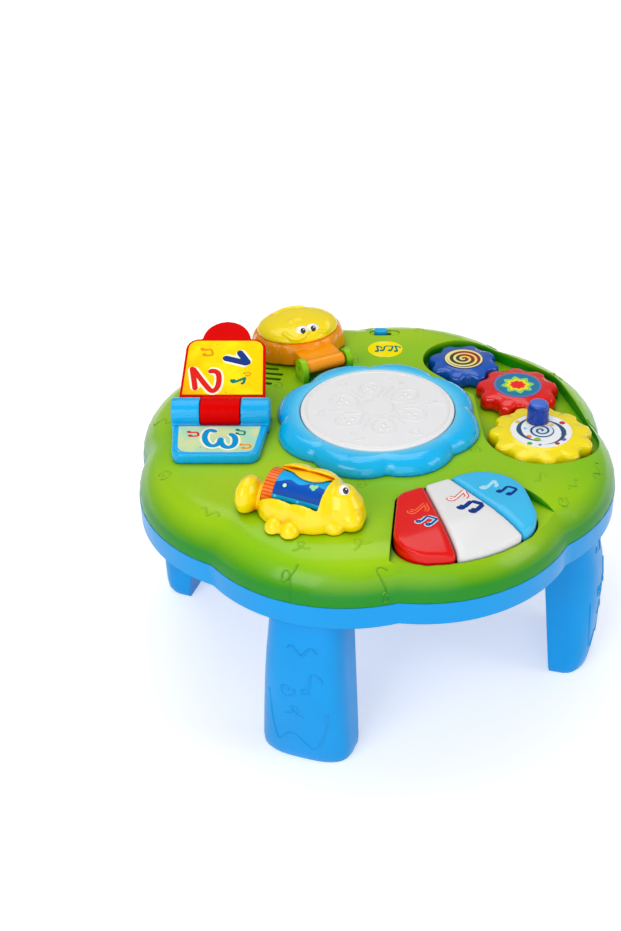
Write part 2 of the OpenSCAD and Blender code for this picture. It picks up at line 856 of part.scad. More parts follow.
// Phase that meshes gear b with gear a, seen from a in direction dir
function mesh_phase(phase, n_a, n_b, dir) =
    dir + 180 + (dir - phase) * n_a / n_b + 180 / n_b;

// Rounded teeth: the flank follows a wave that is flattened at tip and root
function tooth_wave(a) = max(-1, min(1, 1.35 * cos(a)));

module gear_outline(teeth, grow = 0) {
    pitch = gear_module * teeth / 2;
    steps = teeth * 12;
    polygon([
        for (i = [0:steps - 1])
            let (a = 360 * i / steps, r = pitch - tooth_gap / 2 + grow + tooth_h * tooth_wave(a * teeth))
            [r * cos(a), r * sin(a)]
    ]);
}

module gear(at, teeth, phase, disc_r) {
    pitch = gear_module * teeth / 2;
    play() translate([at[0], at[1], 0]) difference() {
        union() {
            translate([0, 0, gear_z]) difference() {
                rotate(phase) linear_extrude(gear_h) gear_outline(teeth);
                translate([0, 0, -1]) cylinder(r = pitch - tooth_h - gear_rim_w, h = gear_h - 1.2);
            }
            translate([0, 0, gear_z - 0.3]) cylinder(r = gear_axle_r + gear_hub_w, h = gear_h);
            for (a = [0:60:300])
                rotate(a) translate([gear_axle_r + 1, -spoke_t / 2, gear_z])
                    cube([pitch - tooth_h - gear_rim_w - gear_axle_r, spoke_t, gear_h - 1]);
            translate([0, 0, gear_top_z - e]) cylinder(r = disc_r + 1, h = 0.8 + e);
        }
        translate([0, 0, gear_z - 1]) cylinder(r = gear_axle_r + run_gap, h = gear_h - 1);
    }
}

module gear_blue() {
    color("midnightblue") gear(blue_at, teeth_blue, blue_phase, disc_blue_r);
}

module gear_red() {
    color("red") gear(red_at, teeth_red, red_phase, disc_red_r);
}

function knob_at() = yellow_at + crank_at * [cos(crank_dir), sin(crank_dir)];

module gear_yellow() {
    color("gold") {
        gear(yellow_at, teeth_yellow, yellow_phase, disc_yellow_r);
        play() translate([knob_at()[0], knob_at()[1], gear_top_z - e])
            cylinder(r = knob_pin_r, h = knob_h - 3);
    }
}

module gear_axles() {
    color("silver") play() for (at = [blue_at, red_at, yellow_at])
        translate([at[0], at[1], recess_z - 2.2])
            cylinder(r = gear_axle_r, h = gear_top_z - 2.6 - recess_z + 2.2);
}

module crank_knob() {
    color("navy") play() translate([knob_at()[0], knob_at()[1], gear_top_z + 1.1]) difference() {
        union() {
            cylinder(r = knob_r, h = knob_h - 5);
            translate([0, 0, knob_h - 5]) cylinder(r = knob_r - 0.5, h = 4);
            translate([0, 0, knob_h - 1]) cylinder(r = knob_r - 1.5, h = 1);
        }
        translate([0, 0, -1]) cylinder(r = knob_pin_r + run_gap, h = knob_h - 3);
    }
}

module gear_disc(at, r) {
    play() translate([at[0], at[1], gear_top_z + 0.8]) cylinder(r = r, h = disc_t);
}

module gear_blue_disc() {
    color("wheat") gear_disc(blue_at, disc_blue_r);
}

module gear_red_disc() {
    color("steelblue") gear_disc(red_at, disc_red_r);
}

module gear_yellow_disc() {
    color("white") difference() {
        gear_disc(yellow_at, disc_yellow_r);
        play() translate([knob_at()[0], knob_at()[1], gear_top_z]) cylinder(r = knob_r + 0.6, h = 3);
    }
}

// ---------------------------------------------------------------- lion flap

module mane_dome(inset, drop) {
    translate([lion_x, mane_y, 0])
        lobed_dome(
            mane_lobe_off, mane_r - mane_lobe_off, mane_lobes, mane_z, mane_top_z - inset,
            mane_roll, 72, 5, inset, drop, mane_squash
        );
}

module lion_mane() {
    color("orange") play() difference() {
        union() {
            difference() {
                mane_dome(0, 0);
                mane_dome(2.2, 1);
            }
            translate([lion_x - lion_barrel_w / 2 + 0.2, lion_hinge_y, lion_hinge_z - 3])
                cube([lion_barrel_w - 0.4, mane_arm, 7]);
            translate([lion_x, lion_hinge_y, lion_hinge_z])
                bar_x(lion_barrel_r, -lion_barrel_w / 2, lion_barrel_w / 2);
        }
        translate([lion_x, lion_hinge_y, lion_hinge_z]) bar_x(pin_r + run_gap, -lion_barrel_w, lion_barrel_w);
    }
}

module lion_face() {
    color("yellow") play() difference() {
        translate([lion_x, face_y, 0])
            lobed_dome(0, face_r, 1, mane_top_z, deck_z + face_rise, face_roll, 48, 6, 0, 0, face_squash);
        translate([lion_x, face_y, 0])
            lobed_dome(0, face_r, 1, mane_top_z, deck_z + face_rise - 2, face_roll, 48, 6, 2, 1, face_squash);
        for (side = [-1, 1])
            translate([lion_x + lion_eye_mid + side * lion_eye_x, lion_eye_y, lion_eye_z])
                sphere(r = lion_eye_r + 0.05, $fn = 24);
    }
}

module lion_eyes() {
    color("black") play() for (side = [-1, 1])
        translate([lion_x + lion_eye_mid + side * lion_eye_x, lion_eye_y, lion_eye_z])
            sphere(r = lion_eye_r, $fn = 24);
}

module lion_hinge_pin() {
    color("silver") play() translate([lion_x, lion_hinge_y, lion_hinge_z])
        bar_x(pin_r, -lion_barrel_w / 2 - lug_t - 0.2, lion_barrel_w / 2 + lug_t + 0.2);
}

// ---------------------------------------------------------------- flip book

module base_outline(inset = 0) {
    side = book_w / 2 - 1 - inset;
    front = side - book_taper;
    corner = book_corner_r - inset;
    at = [front - corner - web_in, book_front + inset + corner];
    for (x = [-1, 1])
        translate([x * at[0], at[1]]) circle(corner);
    low = book_front + inset + web_in;
    bend = front - 2 * web_in;
    polygon([
        [-at[0], low], [-at[0], at[1]], [-bend, at[1]], [-side, -spine_r], [-side, book_back - inset],
        [side, book_back - inset], [side, -spine_r], [bend, at[1]], [at[0], at[1]], [at[0], low]
    ]);
}

module book_base() {
    lug_w = (book_w - spine_w - 0.8) / 2;
    color("deepskyblue") book_frame() difference() {
        union() {
            translate([0, 0, deck_z]) linear_extrude(book_rise) base_outline();
            for (x = [-book_w / 2, book_w / 2 - lug_w]) {
                translate([0, 0, book_hinge_z]) bar_x(spine_r, x, x + lug_w);
                translate([x, -spine_r, deck_z]) cube([lug_w, 2 * spine_r, book_hinge_z - deck_z]);
            }
        }
        translate([0, 0, book_hinge_z]) bar_x(spine_r + 0.4, -spine_w / 2 - 0.4, spine_w / 2 + 0.4);
        translate([0, 0, book_hinge_z]) bar_x(pin_r, -book_w / 2 + 2, book_w / 2 - 2);
        translate([0, 0, deck_z - 1]) linear_extrude(book_rise - 2) difference() {
            base_outline(2.2);
            translate([-book_w, -spine_r - 2]) square([2 * book_w, 2 * spine_r + 4]);
        }
    }
}

// The page's outline in its own plane, its hinge end at the bottom
module page_outline(inset = 0) {
    half = page_w / 2 - inset;
    top = page_start + page_len - inset;
    corner = page_corner_r - inset;
    at = [half - page_taper - corner - web_in, top - corner];
    for (x = [-1, 1])
        translate([x * at[0], at[1]]) circle(corner);
    bend = half - page_taper - 2 * web_in;
    polygon([
        [-half, page_start + inset], [-bend, at[1]], [-at[0], top - web_in],
        [at[0], top - web_in], [bend, at[1]], [half, page_start + inset]
    ]);
}

module page_frame() {
    book_frame() translate([0, 0, book_hinge_z]) rotate([page_lean, 0, 0]) children();
}

module book_page() {
    color("red") page_frame() difference() {
        union() {
            translate([0, 0, -page_t / 2]) linear_extrude(page_t) {
                page_outline();
                translate([0, page_start + page_len - roof_sink]) intersection() {
                    translate([0, roof_sink + roof_h - roof_r]) circle(roof_r);
                    translate([-roof_r, 0]) square([2 * roof_r, roof_h + 2 * roof_sink]);
                }
            }
            translate([-spine_w / 2, 0, -page_t / 2]) cube([spine_w, page_start + 2, page_t]);
            bar_x(spine_r, -spine_w / 2, spine_w / 2);
        }
        bar_x(pin_r + run_gap, -book_w, book_w);
    }
}

module book_base_card() {
    side = book_w / 2 - 1 - card_in;
    corner = book_corner_r - card_in;
    at = [side - book_taper - corner, book_front + card_in + corner];
    color("palegreen") book_frame() translate([0, 0, deck_z + book_rise]) linear_extrude(card_t)
        polygon(concat(
            [for (a = [180:15:270]) [-at[0], at[1]] + corner * [cos(a), sin(a)]],
            [for (a = [270:15:360]) at + corner * [cos(a), sin(a)]],
            [[side, -spine_r - card_back], [-side, -spine_r - card_back]]
        ));
}

module book_page_card() {
    color("yellow") page_frame() for (side = [0, 1]) mirror([0, 0, side])
        translate([0, 0, page_t / 2]) linear_extrude(card_t) page_outline(2);
}

module book_hinge_pin() {
    color("silver") book_frame() translate([0, 0, book_hinge_z])
        bar_x(pin_r, -book_w / 2 + 2.2, book_w / 2 - 2.2);
}

// ---------------------------------------------------------------- animal and roller

module egg(at, half, z, top, seg = 24) {
    turns = [-84, -56, -28, 0, 28, 56, 84];
    ring_stack([
        for (t = turns, i = [0:seg - 1])
            let (a = 360 * i / seg)
            [at[0] + half[0] * cos(a) * cos(t), at[1] + half[1] * sin(a) * cos(t), z + (top - z) * sin(t)]
    ], len(turns), seg);
}

module animal_solid(inset = 0, drop = 0) {
    translate([body_at[0], body_at[1], 0])
        lobed_dome(
            body_lobe_off, body_lobe_r, 2, deck_z, deck_z + animal_rise - inset,
            body_roll, 36, 6, inset, drop, body_squash
        );
    egg(head_at, head_half - [inset, inset], deck_z + 4, deck_z + animal_rise - 1 - inset, 30);
}

module above_deck(z) {
    translate([-80, -60, z]) cube([160, 120, 60]);
}

module roller_line() {
    translate([0, roller_side, roller_z]) children();
}

module animal_shell() {
    roller_end = picture_from + picture_len + end_gap;
    grip_end = picture_from - grip_len - end_gap;
    color("gold") animal_frame() difference() {
        union() {
            intersection() {
                difference() {
                    union() {
                        animal_solid();
                        egg(snout_at, [8, 8], deck_z + 5, deck_z + 13);
                        egg(tail_at, [8, 13], deck_z + 8, deck_z + 21);
                        for (at = feet_at) egg(at, [6.5, 7.5], deck_z, deck_z + 8);
                    }
                    animal_solid(shell_t, 1);
                }
                above_deck(deck_z);
            }
            intersection() {
                animal_solid(0.5);
                above_deck(deck_z);
                union() {
                    translate([roller_end - bulkhead_lip, -40, 0]) cube([bulkhead_t + bulkhead_lip, 80, 300]);
                    translate([grip_end - bulkhead_t, -40, 0]) cube([bulkhead_t + bulkhead_lip, 80, 300]);
                }
            }
        }
        roller_line() {
            bar_x(roller_r + 0.7, grip_end, roller_end);
            bar_x(pin_r + run_gap, grip_end - bulkhead_t - 1, roller_end + bulkhead_t + 1);
            rotate([-window_lean, 0, 0]) translate([grip_end, -window_half, window_floor])
                cube([roller_end - grip_end, 2 * window_half, 40]);
        }
        translate(animal_eye_at) sphere(r = animal_eye_r + 0.05, $fn = 24);
    }
}

module animal_eye() {
    color("black") animal_frame() translate(animal_eye_at) sphere(r = animal_eye_r, $fn = 24);
}

module picture_roller() {
    color("royalblue") animal_frame() roller_line() difference() {
        union() {
            bar_x(roller_r - 0.4, picture_from, picture_from + picture_len);
            bar_x(roller_r, picture_from - grip_len, picture_from);
        }
        bar_x(pin_r, picture_from - 20, picture_from + picture_len + 10);
        difference() {
            bar_x(roller_r - 2.4, picture_from - grip_len - 1, picture_from + picture_len - 2);
            bar_x(4, picture_from - 20, picture_from + picture_len + 10);
            translate([picture_from - grip_len + 2, -roller_r, -0.8]) cube([picture_len, 2 * roller_r, 1.6]);
        }
    }
}

module roller_axle() {
    x0 = picture_from - grip_len - end_gap - bulkhead_t;
    x1 = picture_from + picture_len + end_gap + bulkhead_t;
    color("silver") animal_frame() roller_line() bar_x(pin_r, x0, x1);
}

// ---------------------------------------------------------------- controls and electronics

module switch_frame() {
    play() translate([switch_at[0], switch_at[1], 0]) rotate(switch_dir) children();
}

module switch_slider() {
    color("deepskyblue") switch_frame() translate([-switch_travel / 2, 0, 0]) {
        translate([0, 0, deck_z - 1]) linear_extrude(3.4) belt([-2, 0], 3.2, [2, 0], 3.2, $fn = 32);
        translate([-1.5, -1.3, under_z - 2.6]) cube([3, 2.6, wall + 2]);
    }
}

module slide_switch() {
    color("dimgray") switch_frame() difference() {
        translate([-15, -4, under_z - 11]) cube([30, 8, 5]);
        translate([-5, -2, under_z - 9]) cube([10, 4, 4]);
    }
}

module speaker() {
    color("dimgray") play() translate([speaker_at[0], speaker_at[1], 0]) {
        translate([0, 0, under_z - 2]) cylinder(r = speaker_r, h = 2 - speaker_gap);
        translate([0, 0, under_z - speaker_h]) cylinder(r = speaker_r * 0.6, h = speaker_h - 2 + e);
    }
}

module main_board_plate() {
    color("seagreen") play() translate([main_board_at[0], main_board_at[1], 0]) {
        centred_box(main_board, main_board_z, main_board_z + board_t);
        centred_box([14, 14], main_board_z + board_t, main_board_z + board_t + 2);
    }
}

module label_disc() {
    color("yellow") play() translate([label_at[0], label_at[1], deck_z]) rotate(switch_dir)
        linear_extrude(disc_t) belt([-1, 0], label_half[1], [1, 0], label_half[1]);
}

top_shell();
bottom_shell();
battery_door();
battery_door_screw();
batteries();
battery_contacts();
casing_screws();
leg(leg_angles[2]);  // leg_front_left
leg(leg_angles[3]);  // leg_front_right
leg(leg_angles[1]);  // leg_rear_left
leg(leg_angles[0]);  // leg_rear_right
drum_ring();
drum_head();
drum_foam_ring();
light_board();
drum_leds();
main_board_plate();  // main_board
speaker();
color("red") key(0);  // key_red
color("white") key(1);  // key_white
color("deepskyblue") key(2);  // key_blue
key_pivot_pin();
key_board();
key_domes();
gear_blue();
gear_red();
gear_yellow();
gear_axles();
crank_knob();
gear_blue_disc();
gear_red_disc();
gear_yellow_disc();
lion_mane();
lion_face();
lion_eyes();
lion_hinge_pin();
book_base();
book_page();
book_base_card();
book_page_card();
book_hinge_pin();
animal_shell();
animal_eye();
picture_roller();
roller_axle();
switch_slider();
slide_switch();
label_disc();
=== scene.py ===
from math import atan2, cos, degrees, hypot, pi, radians, sin, sqrt

import bmesh
import bpy
from mathutils import Matrix, Vector
from mathutils.bvhtree import BVHTree


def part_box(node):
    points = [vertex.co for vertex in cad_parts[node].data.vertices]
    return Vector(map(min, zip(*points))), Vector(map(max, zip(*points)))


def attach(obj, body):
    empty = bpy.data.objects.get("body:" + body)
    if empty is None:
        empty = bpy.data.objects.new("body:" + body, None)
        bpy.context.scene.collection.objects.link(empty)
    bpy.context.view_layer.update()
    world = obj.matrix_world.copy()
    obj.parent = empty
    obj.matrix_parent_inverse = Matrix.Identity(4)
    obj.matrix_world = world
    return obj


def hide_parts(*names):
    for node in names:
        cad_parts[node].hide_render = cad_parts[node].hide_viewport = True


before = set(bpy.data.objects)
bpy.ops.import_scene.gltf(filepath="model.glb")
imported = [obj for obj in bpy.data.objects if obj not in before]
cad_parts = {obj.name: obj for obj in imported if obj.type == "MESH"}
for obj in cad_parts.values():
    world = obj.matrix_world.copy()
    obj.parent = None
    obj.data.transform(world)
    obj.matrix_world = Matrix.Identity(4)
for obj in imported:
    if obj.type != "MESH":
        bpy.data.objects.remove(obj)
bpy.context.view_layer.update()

# ---------------------------------------------------------------- studio
# A small pale stage: a floor that fades into a white surround, soft light from
# above and from both sides, and a camera that looks down on the play deck.

MM = 0.001


def node_box(node):
    """Lowest and highest corner of a CAD node, in millimetres."""
    low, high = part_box(node)
    return low / MM, high / MM


def node_middle(node):
    """A CAD node's middle seen from above, in millimetres."""
    low, high = node_box(node)
    return (low.x + high.x) / 2, (low.y + high.y) / 2


PLAY_X, PLAY_Y = node_middle("drum_head")
DECK = node_box("label_disc")[0].z

AZIMUTH = -27.7
ELEVATION = 32.1
DISTANCE = 920
AIM_ABOVE_DECK = 0.4
camera_data = bpy.data.cameras.new("camera")
camera_data.sensor_width = 36
camera_data.lens = 51.95
camera_data.shift_x = -0.072
camera_data.shift_y = -0.047
camera_data.clip_end = 50
camera = bpy.data.objects.new("camera", camera_data)
bpy.context.scene.collection.objects.link(camera)
towards_camera = Vector((
    sin(radians(AZIMUTH)) * cos(radians(ELEVATION)),
    -cos(radians(AZIMUTH)) * cos(radians(ELEVATION)),
    sin(radians(ELEVATION)),
))
aim_point = Vector((PLAY_X, PLAY_Y, DECK + AIM_ABOVE_DECK))
camera.location = (aim_point + towards_camera * DISTANCE) * MM
camera.rotation_euler = (radians(90 - ELEVATION), 0, radians(AZIMUTH))
bpy.context.scene.camera = camera


def soft_lamp(name, place, size, watts):
    """A square soft box that faces the middle of the deck."""
    data = bpy.data.lights.new(name, "AREA")
    data.size = size
    data.energy = watts
    lamp = bpy.data.objects.new(name, data)
    bpy.context.scene.collection.objects.link(lamp)
    lamp.location = place
    aim = Vector((0, 0, DECK * MM)) - lamp.location
    lamp.rotation_euler = aim.to_track_quat("-Z", "Y").to_euler()


soft_lamp("lamp_left", (-1.3, -0.7, 1.1), 0.9, 9.5)
soft_lamp("lamp_right", (1.2, -1.2, 0.9), 0.8, 6)
soft_lamp("lamp_top", (0.1, 0.5, 1.6), 1.2, 9)
soft_lamp("lamp_front", (-0.75, -1.45, 0.6), 1.5, 8.5)


def wire(tree, node, sockets):
    """Sets a node's sockets, or links them where another socket is given."""
    for socket, source in dict(sockets).items():
        if isinstance(source, bpy.types.NodeSocket):
            tree.links.new(source, node.inputs[socket])
        else:
            node.inputs[socket].default_value = source


def add_node(tree, kind, sockets=(), **settings):
    """A shader node with its settings, and its sockets set or linked."""
    node = tree.nodes.new("ShaderNode" + kind)
    for name, value in settings.items():
        setattr(node, name, value)
    wire(tree, node, sockets)
    return node


def maths(tree, operation, *values):
    """One maths node on sockets or numbers."""
    return add_node(tree, "Math", dict(enumerate(values)), operation=operation).outputs[0]


def ramp(tree, value, start, end, low=0.0, high=1.0, **settings):
    """A value carried from one span to another, and held at the ends."""
    sockets = {0: value, 1: start, 2: end, 3: low, 4: high}
    return add_node(tree, "MapRange", sockets, **settings).outputs[0]


def object_place(tree):
    """Where a point lies on the object, in metres."""
    return add_node(tree, "TexCoord").outputs["Object"]


WHITE = (1, 1, 1, 1)
world = bpy.data.worlds.new("surround")
world.use_nodes = True
tree = world.node_tree
tree.nodes.clear()
ray = add_node(tree, "LightPath").outputs
seen = maths(tree, "MAXIMUM", ray["Is Camera Ray"], ray["Is Transmission Ray"])
glow = add_node(tree, "Background", {"Color": WHITE, "Strength": 0.36}).outputs[0]
white = add_node(tree, "Background", {"Color": WHITE, "Strength": 1.0}).outputs[0]
either = add_node(tree, "MixShader", {0: seen, 1: glow, 2: white}).outputs[0]
add_node(tree, "OutputWorld", {"Surface": either})
bpy.context.scene.world = world
bpy.context.scene.view_settings.view_transform = "Standard"

FLOOR_HALF = 8
FADE_START, FADE_END = 0.45, 1.6
floor_bm = bmesh.new()
bmesh.ops.create_grid(floor_bm, x_segments=1, y_segments=1, size=FLOOR_HALF)
floor_mesh = bpy.data.meshes.new("floor")
floor_bm.to_mesh(floor_mesh)
floor_bm.free()
floor = bpy.data.objects.new("floor", floor_mesh)
bpy.context.scene.collection.objects.link(floor)
paper = bpy.data.materials.new("pale_floor")
paper.use_nodes = True
tree = paper.node_tree
tree.nodes.clear()
matt = add_node(tree, "BsdfDiffuse", {"Color": (0.86, 0.86, 0.87, 1)}).outputs[0]
reach = add_node(tree, "VectorMath", {0: object_place(tree)}, operation="LENGTH").outputs["Value"]
fade = ramp(tree, reach, FADE_START, FADE_END, 0.42, 1.0)
lit = add_node(tree, "Emission", {"Color": WHITE, "Strength": fade}).outputs[0]
ray = add_node(tree, "LightPath").outputs
seen = maths(tree, "MAXIMUM", ray["Is Camera Ray"], ray["Is Glossy Ray"])
none = add_node(tree, "Emission", {"Strength": 0.0}).outputs[0]
extra = add_node(tree, "MixShader", {0: seen, 1: none, 2: lit}).outputs[0]
both = add_node(tree, "AddShader", {0: matt, 1: extra}).outputs[0]
add_node(tree, "OutputMaterial", {"Surface": both})
floor_mesh.materials.append(paper)

# ---------------------------------------------------------------- lower casing
# The blue lower half: one deep moulding in glossy ABS with four leg sockets
# and a battery bay. Six screws pull it against the upper casing.


def srgb(red, green, blue):
    """A colour given in screen values from 0 to 255."""
    def linear(c):
        c = c / 255
        return c / 12.92 if c <= 0.04045 else ((c + 0.055) / 1.055) ** 2.4
    return (linear(red), linear(green), linear(blue), 1.0)


def over(tree, mask, ground, colour):
    """Lays a colour over another where the mask is 1."""
    return add_node(tree, "Mix", {0: mask, 6: ground, 7: colour}, data_type="RGBA").outputs[2]


def plastic_skin_group():
    """Tone, gloss and grain of a moulded part that hands have held."""
    group = bpy.data.node_groups.new("plastic_skin", "ShaderNodeTree")
    for way, kind, names in (
        ("INPUT", "NodeSocketColor", ("Colour",)),
        ("INPUT", "NodeSocketFloat", ("Gloss", "Mottle", "Grain")),
        ("OUTPUT", "NodeSocketColor", ("Colour",)),
        ("OUTPUT", "NodeSocketFloat", ("Roughness", "Height")),
    ):
        for name in names:
            group.interface.new_socket(name, in_out=way, socket_type=kind)
    given = group.nodes.new("NodeGroupInput").outputs
    place = object_place(group)
    flow = add_node(group, "TexNoise", {"Vector": place, "Scale": 22.0, "Detail": 3.0})
    smudge = add_node(group, "TexNoise", {
        "Vector": place, "Scale": 75.0, "Detail": 4.0, "Roughness": 0.6,
    })
    grain = add_node(group, "TexNoise", {"Vector": place, "Scale": given["Grain"], "Detail": 2.0})
    swing = maths(group, "SUBTRACT", flow.outputs["Fac"], 0.5)
    tone = maths(group, "MULTIPLY_ADD", swing, given["Mottle"], 1.0)
    shade = add_node(group, "VectorMath", {0: given["Colour"], "Scale": tone}, operation="SCALE")
    wear = ramp(group, smudge.outputs["Fac"], 0.35, 0.7, -0.035, 0.06)
    wire(group, group.nodes.new("NodeGroupOutput"), {
        "Colour": shade.outputs[0], "Roughness": maths(group, "ADD", given["Gloss"], wear),
        "Height": grain.outputs["Fac"],
    })
    return group


def new_material(name):
    """An empty node material, with its tree and its shader."""
    material = bpy.data.materials.new(name)
    material.use_nodes = True
    return material, material.node_tree, material.node_tree.nodes["Principled BSDF"]


plastic_skin = plastic_skin_group()


def plastic(name, colour, gloss=0.27, mottle=0.16, grain=1400.0, depth=0.02, edge=0.0,
            coat=0.18, through=0.0, shine=0.24):
    """Moulded plastic. colour is a value or a function that paints its tones in
    the tree; edge is the radius of its rounded edges in millimetres."""
    material, tree, shader = new_material(name)
    skin = tree.nodes.new("ShaderNodeGroup")
    skin.node_tree = plastic_skin
    wire(tree, skin, {
        "Colour": colour(tree) if callable(colour) else colour,
        "Gloss": gloss, "Mottle": mottle, "Grain": grain,
    })
    bump = add_node(tree, "Bump", {
        "Strength": depth, "Distance": 0.0004, "Height": skin.outputs["Height"],
    })
    if edge:
        rounding = add_node(tree, "Bevel", {"Radius": edge * MM}, samples=6)
        wire(tree, bump, {"Normal": rounding.outputs[0]})
    wire(tree, shader, {
        "Base Color": skin.outputs["Colour"], "Roughness": skin.outputs["Roughness"],
        "Normal": bump.outputs[0], "Coat Weight": coat, "Coat Roughness": 0.08,
        "Specular IOR Level": shine,
    })
    if through:
        wire(tree, shader, {
            "Subsurface Weight": through, "Subsurface Scale": 0.004,
            "Subsurface Radius": (0.6, 0.8, 1.0),
        })
    return material


JOIN = 0.002


def joined_copy(node):
    """A CAD node's triangles in millimetres, joined where they meet."""
    bm = bmesh.new()
    bm.from_mesh(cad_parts[node].data)
    bmesh.ops.scale(bm, vec=(1 / MM, 1 / MM, 1 / MM), verts=bm.verts)
    bmesh.ops.remove_doubles(bm, verts=bm.verts, dist=JOIN)
    return bm


def settle(name, bm, material, body, nodes=(), place=None, crease=32):
    """Turns a mesh in millimetres into a finished piece that rides on its body."""
    if place is not None:
        bm.transform(place)
    bmesh.ops.scale(bm, vec=(MM, MM, MM), verts=bm.verts)
    mesh = bpy.data.meshes.new(name)
    bm.to_mesh(mesh)
    bm.free()
    if "custom_normal" in mesh.attributes:
        mesh.attributes.remove(mesh.attributes["custom_normal"])
    mesh.shade_smooth()
    mesh.set_sharp_from_angle(angle=radians(crease))
    for each in material if isinstance(material, list) else [material]:
        mesh.materials.append(each)
    piece = bpy.data.objects.new(name, mesh)
    bpy.context.scene.collection.objects.link(piece)
    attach(piece, body)
    if nodes:
        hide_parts(*nodes)
    return piece


def level_faces(piece):
    """Large flat faces keep their own normal next to a rounded edge."""
    weights = piece.modifiers.new("level faces", "WEIGHTED_NORMAL")
    weights.keep_sharp = True
    weights.weight = 80


SKIRT_BLUE = srgb(0, 158, 236)
PARTING_TEAL = srgb(0, 132, 110)
PARTING_Z = node_box("bottom_shell")[1].z


def skirt_tones(tree):
    """Blue, with the thin dark line where the two casing halves meet."""
    height = add_node(tree, "SeparateXYZ", {0: object_place(tree)}).outputs["Z"]
    share = ramp(tree, height, (PARTING_Z - 0.9) * MM, (PARTING_Z - 0.3) * MM)
    return over(tree, share, SKIRT_BLUE, PARTING_TEAL)


skirt_blue = plastic("skirt_blue", skirt_tones, gloss=0.33, edge=0.9, coat=0.12, shine=0.2)
lower_casing = settle(
    "lower_casing", joined_copy("bottom_shell"), skirt_blue, "table",
    ["bottom_shell"])
level_faces(lower_casing)


def finish_node(node, material):
    """A CAD node whose shape is right keeps it and gets its real finish."""
    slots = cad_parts[node].data.materials
    slots.clear()
    slots.append(material)


finish_node("battery_door", plastic("door_blue", SKIRT_BLUE, gloss=0.38, edge=0.4))


def darker(colour):
    """The same colour at four fifths of its strength."""
    return tuple(0.8 * c for c in colour[:3]) + (1,)


def bare_metal(name, colour, rough, scratch=260.0):
    """Plated or spring steel with fine wear marks."""
    material, tree, shader = new_material(name)
    marks = add_node(tree, "TexNoise", {
        "Vector": object_place(tree), "Scale": scratch, "Detail": 5.0,
    }).outputs["Fac"]
    bump = add_node(tree, "Bump", {"Strength": 0.12, "Distance": 0.0001, "Height": marks})
    wire(tree, shader, {
        "Base Color": over(tree, marks, colour, darker(colour)),
        "Roughness": ramp(tree, marks, 0, 1, rough - 0.08, rough + 0.12),
        "Normal": bump.outputs[0], "Metallic": 1.0,
    })
    return material


plated_steel = bare_metal("plated_steel", (0.62, 0.62, 0.64, 1), 0.3)
spring_steel = bare_metal("spring_steel", (0.55, 0.54, 0.5, 1), 0.36, 500.0)
for pin in ("casing_screws", "battery_door_screw", "gear_axles", "lion_hinge_pin",
            "book_hinge_pin", "roller_axle", "key_pivot_pin"):
    finish_node(pin, plated_steel)
finish_node("battery_contacts", spring_steel)

# ---------------------------------------------------------------- legs
# Four hollow blow-moulded legs that push into sockets under the casing. Each
# outer face carries a raised childish doodle that the mould leaves proud.

DOWN = Vector((0, 0, -1))


def smoothed(points, passes=3):
    """Cuts the corners of a line again and again until it runs smoothly."""
    for _ in range(passes):
        cut = [points[0]]
        for a, b in zip(points, points[1:]):
            cut += [a.lerp(b, 0.25), a.lerp(b, 0.75)]
        points = cut + [points[-1]]
    return points


def raised_line(bm, points, half_width, flat=1.0, surface=None, aim=DOWN, round_ends=True):
    """Adds a round bead along a line, sunk into a surface or flattened on it."""
    points = smoothed([Vector(p) for p in points])
    if surface is not None:
        hits = [surface.ray_cast(p, aim) for p in points]
        points = [hit[0] for hit in hits if hit[0] is not None]
    if len(points) < 3:
        return
    curve = bpy.data.curves.new("bead", "CURVE")
    curve.dimensions = "3D"
    curve.bevel_depth = half_width
    curve.bevel_resolution = 2
    curve.use_fill_caps = True
    spline = curve.splines.new("POLY")
    spline.points.add(len(points) - 1)
    length = [0.0]
    for a, b in zip(points, points[1:]):
        length.append(length[-1] + (b - a).length)
    for point, place, run in zip(spline.points, points, length):
        point.co = (place.x, place.y, place.z, 1)
        end = min(run, length[-1] - run) / half_width
        point.radius = sqrt(max(0.02, 1 - (1 - min(1, end)) ** 2)) if round_ends else 1
    holder = bpy.data.objects.new("bead", curve)
    mesh = bpy.data.meshes.new_from_object(holder)
    if flat != 1.0:
        level = Matrix.Translation((0, 0, points[0].z))
        mesh.transform(level @ Matrix.Diagonal((1, 1, flat, 1)) @ level.inverted())
    bm.from_mesh(mesh)
    bpy.data.objects.remove(holder)
    bpy.data.curves.remove(curve)
    bpy.data.meshes.remove(mesh)


def scaled(lines, x, y, size, turn=0):
    """Lines drawn at a size, turned and moved to their place."""
    c, s = cos(radians(turn)) * size, sin(radians(turn)) * size
    return [[(x + c * px - s * py, y + s * px + c * py) for px, py in line] for line in lines]


CURL = [[
    (0.1, 0), (0.35, 0.15), (0.2, 0.5), (-0.2, 0.5), (-0.5, 0.1), (-0.3, -0.5), (0.3, -0.65),
    (0.8, -0.3), (0.9, 0.4),
]]
WAVE = [[(-1.2, 0.1), (-0.8, 0.5), (-0.4, 0), (0, -0.4), (0.4, 0.1), (0.8, 0.5), (1.2, 0)]]
LOOP = [[
    (-1, -0.4), (-0.3, -0.3), (0.5, 0.2), (0.3, 0.8), (-0.3, 0.7), (-0.2, 0.1), (0.5, -0.4),
    (1.1, -0.5),
]]
QUAVER = [[
    (-0.1, -0.7), (-0.5, -0.9), (-0.7, -0.6), (-0.4, -0.4), (-0.1, -0.6), (-0.1, 0.9),
    (0.5, 0.6), (0.7, 0.1),
]]
FOOT_SWAG = [[
    (-1.05, 1.9), (-1.0, 0.6), (-0.8, -0.5), (-0.35, 0.3), (0.1, -0.1), (0.5, -0.6),
    (0.85, 0.1), (1.0, 1.3),
]]
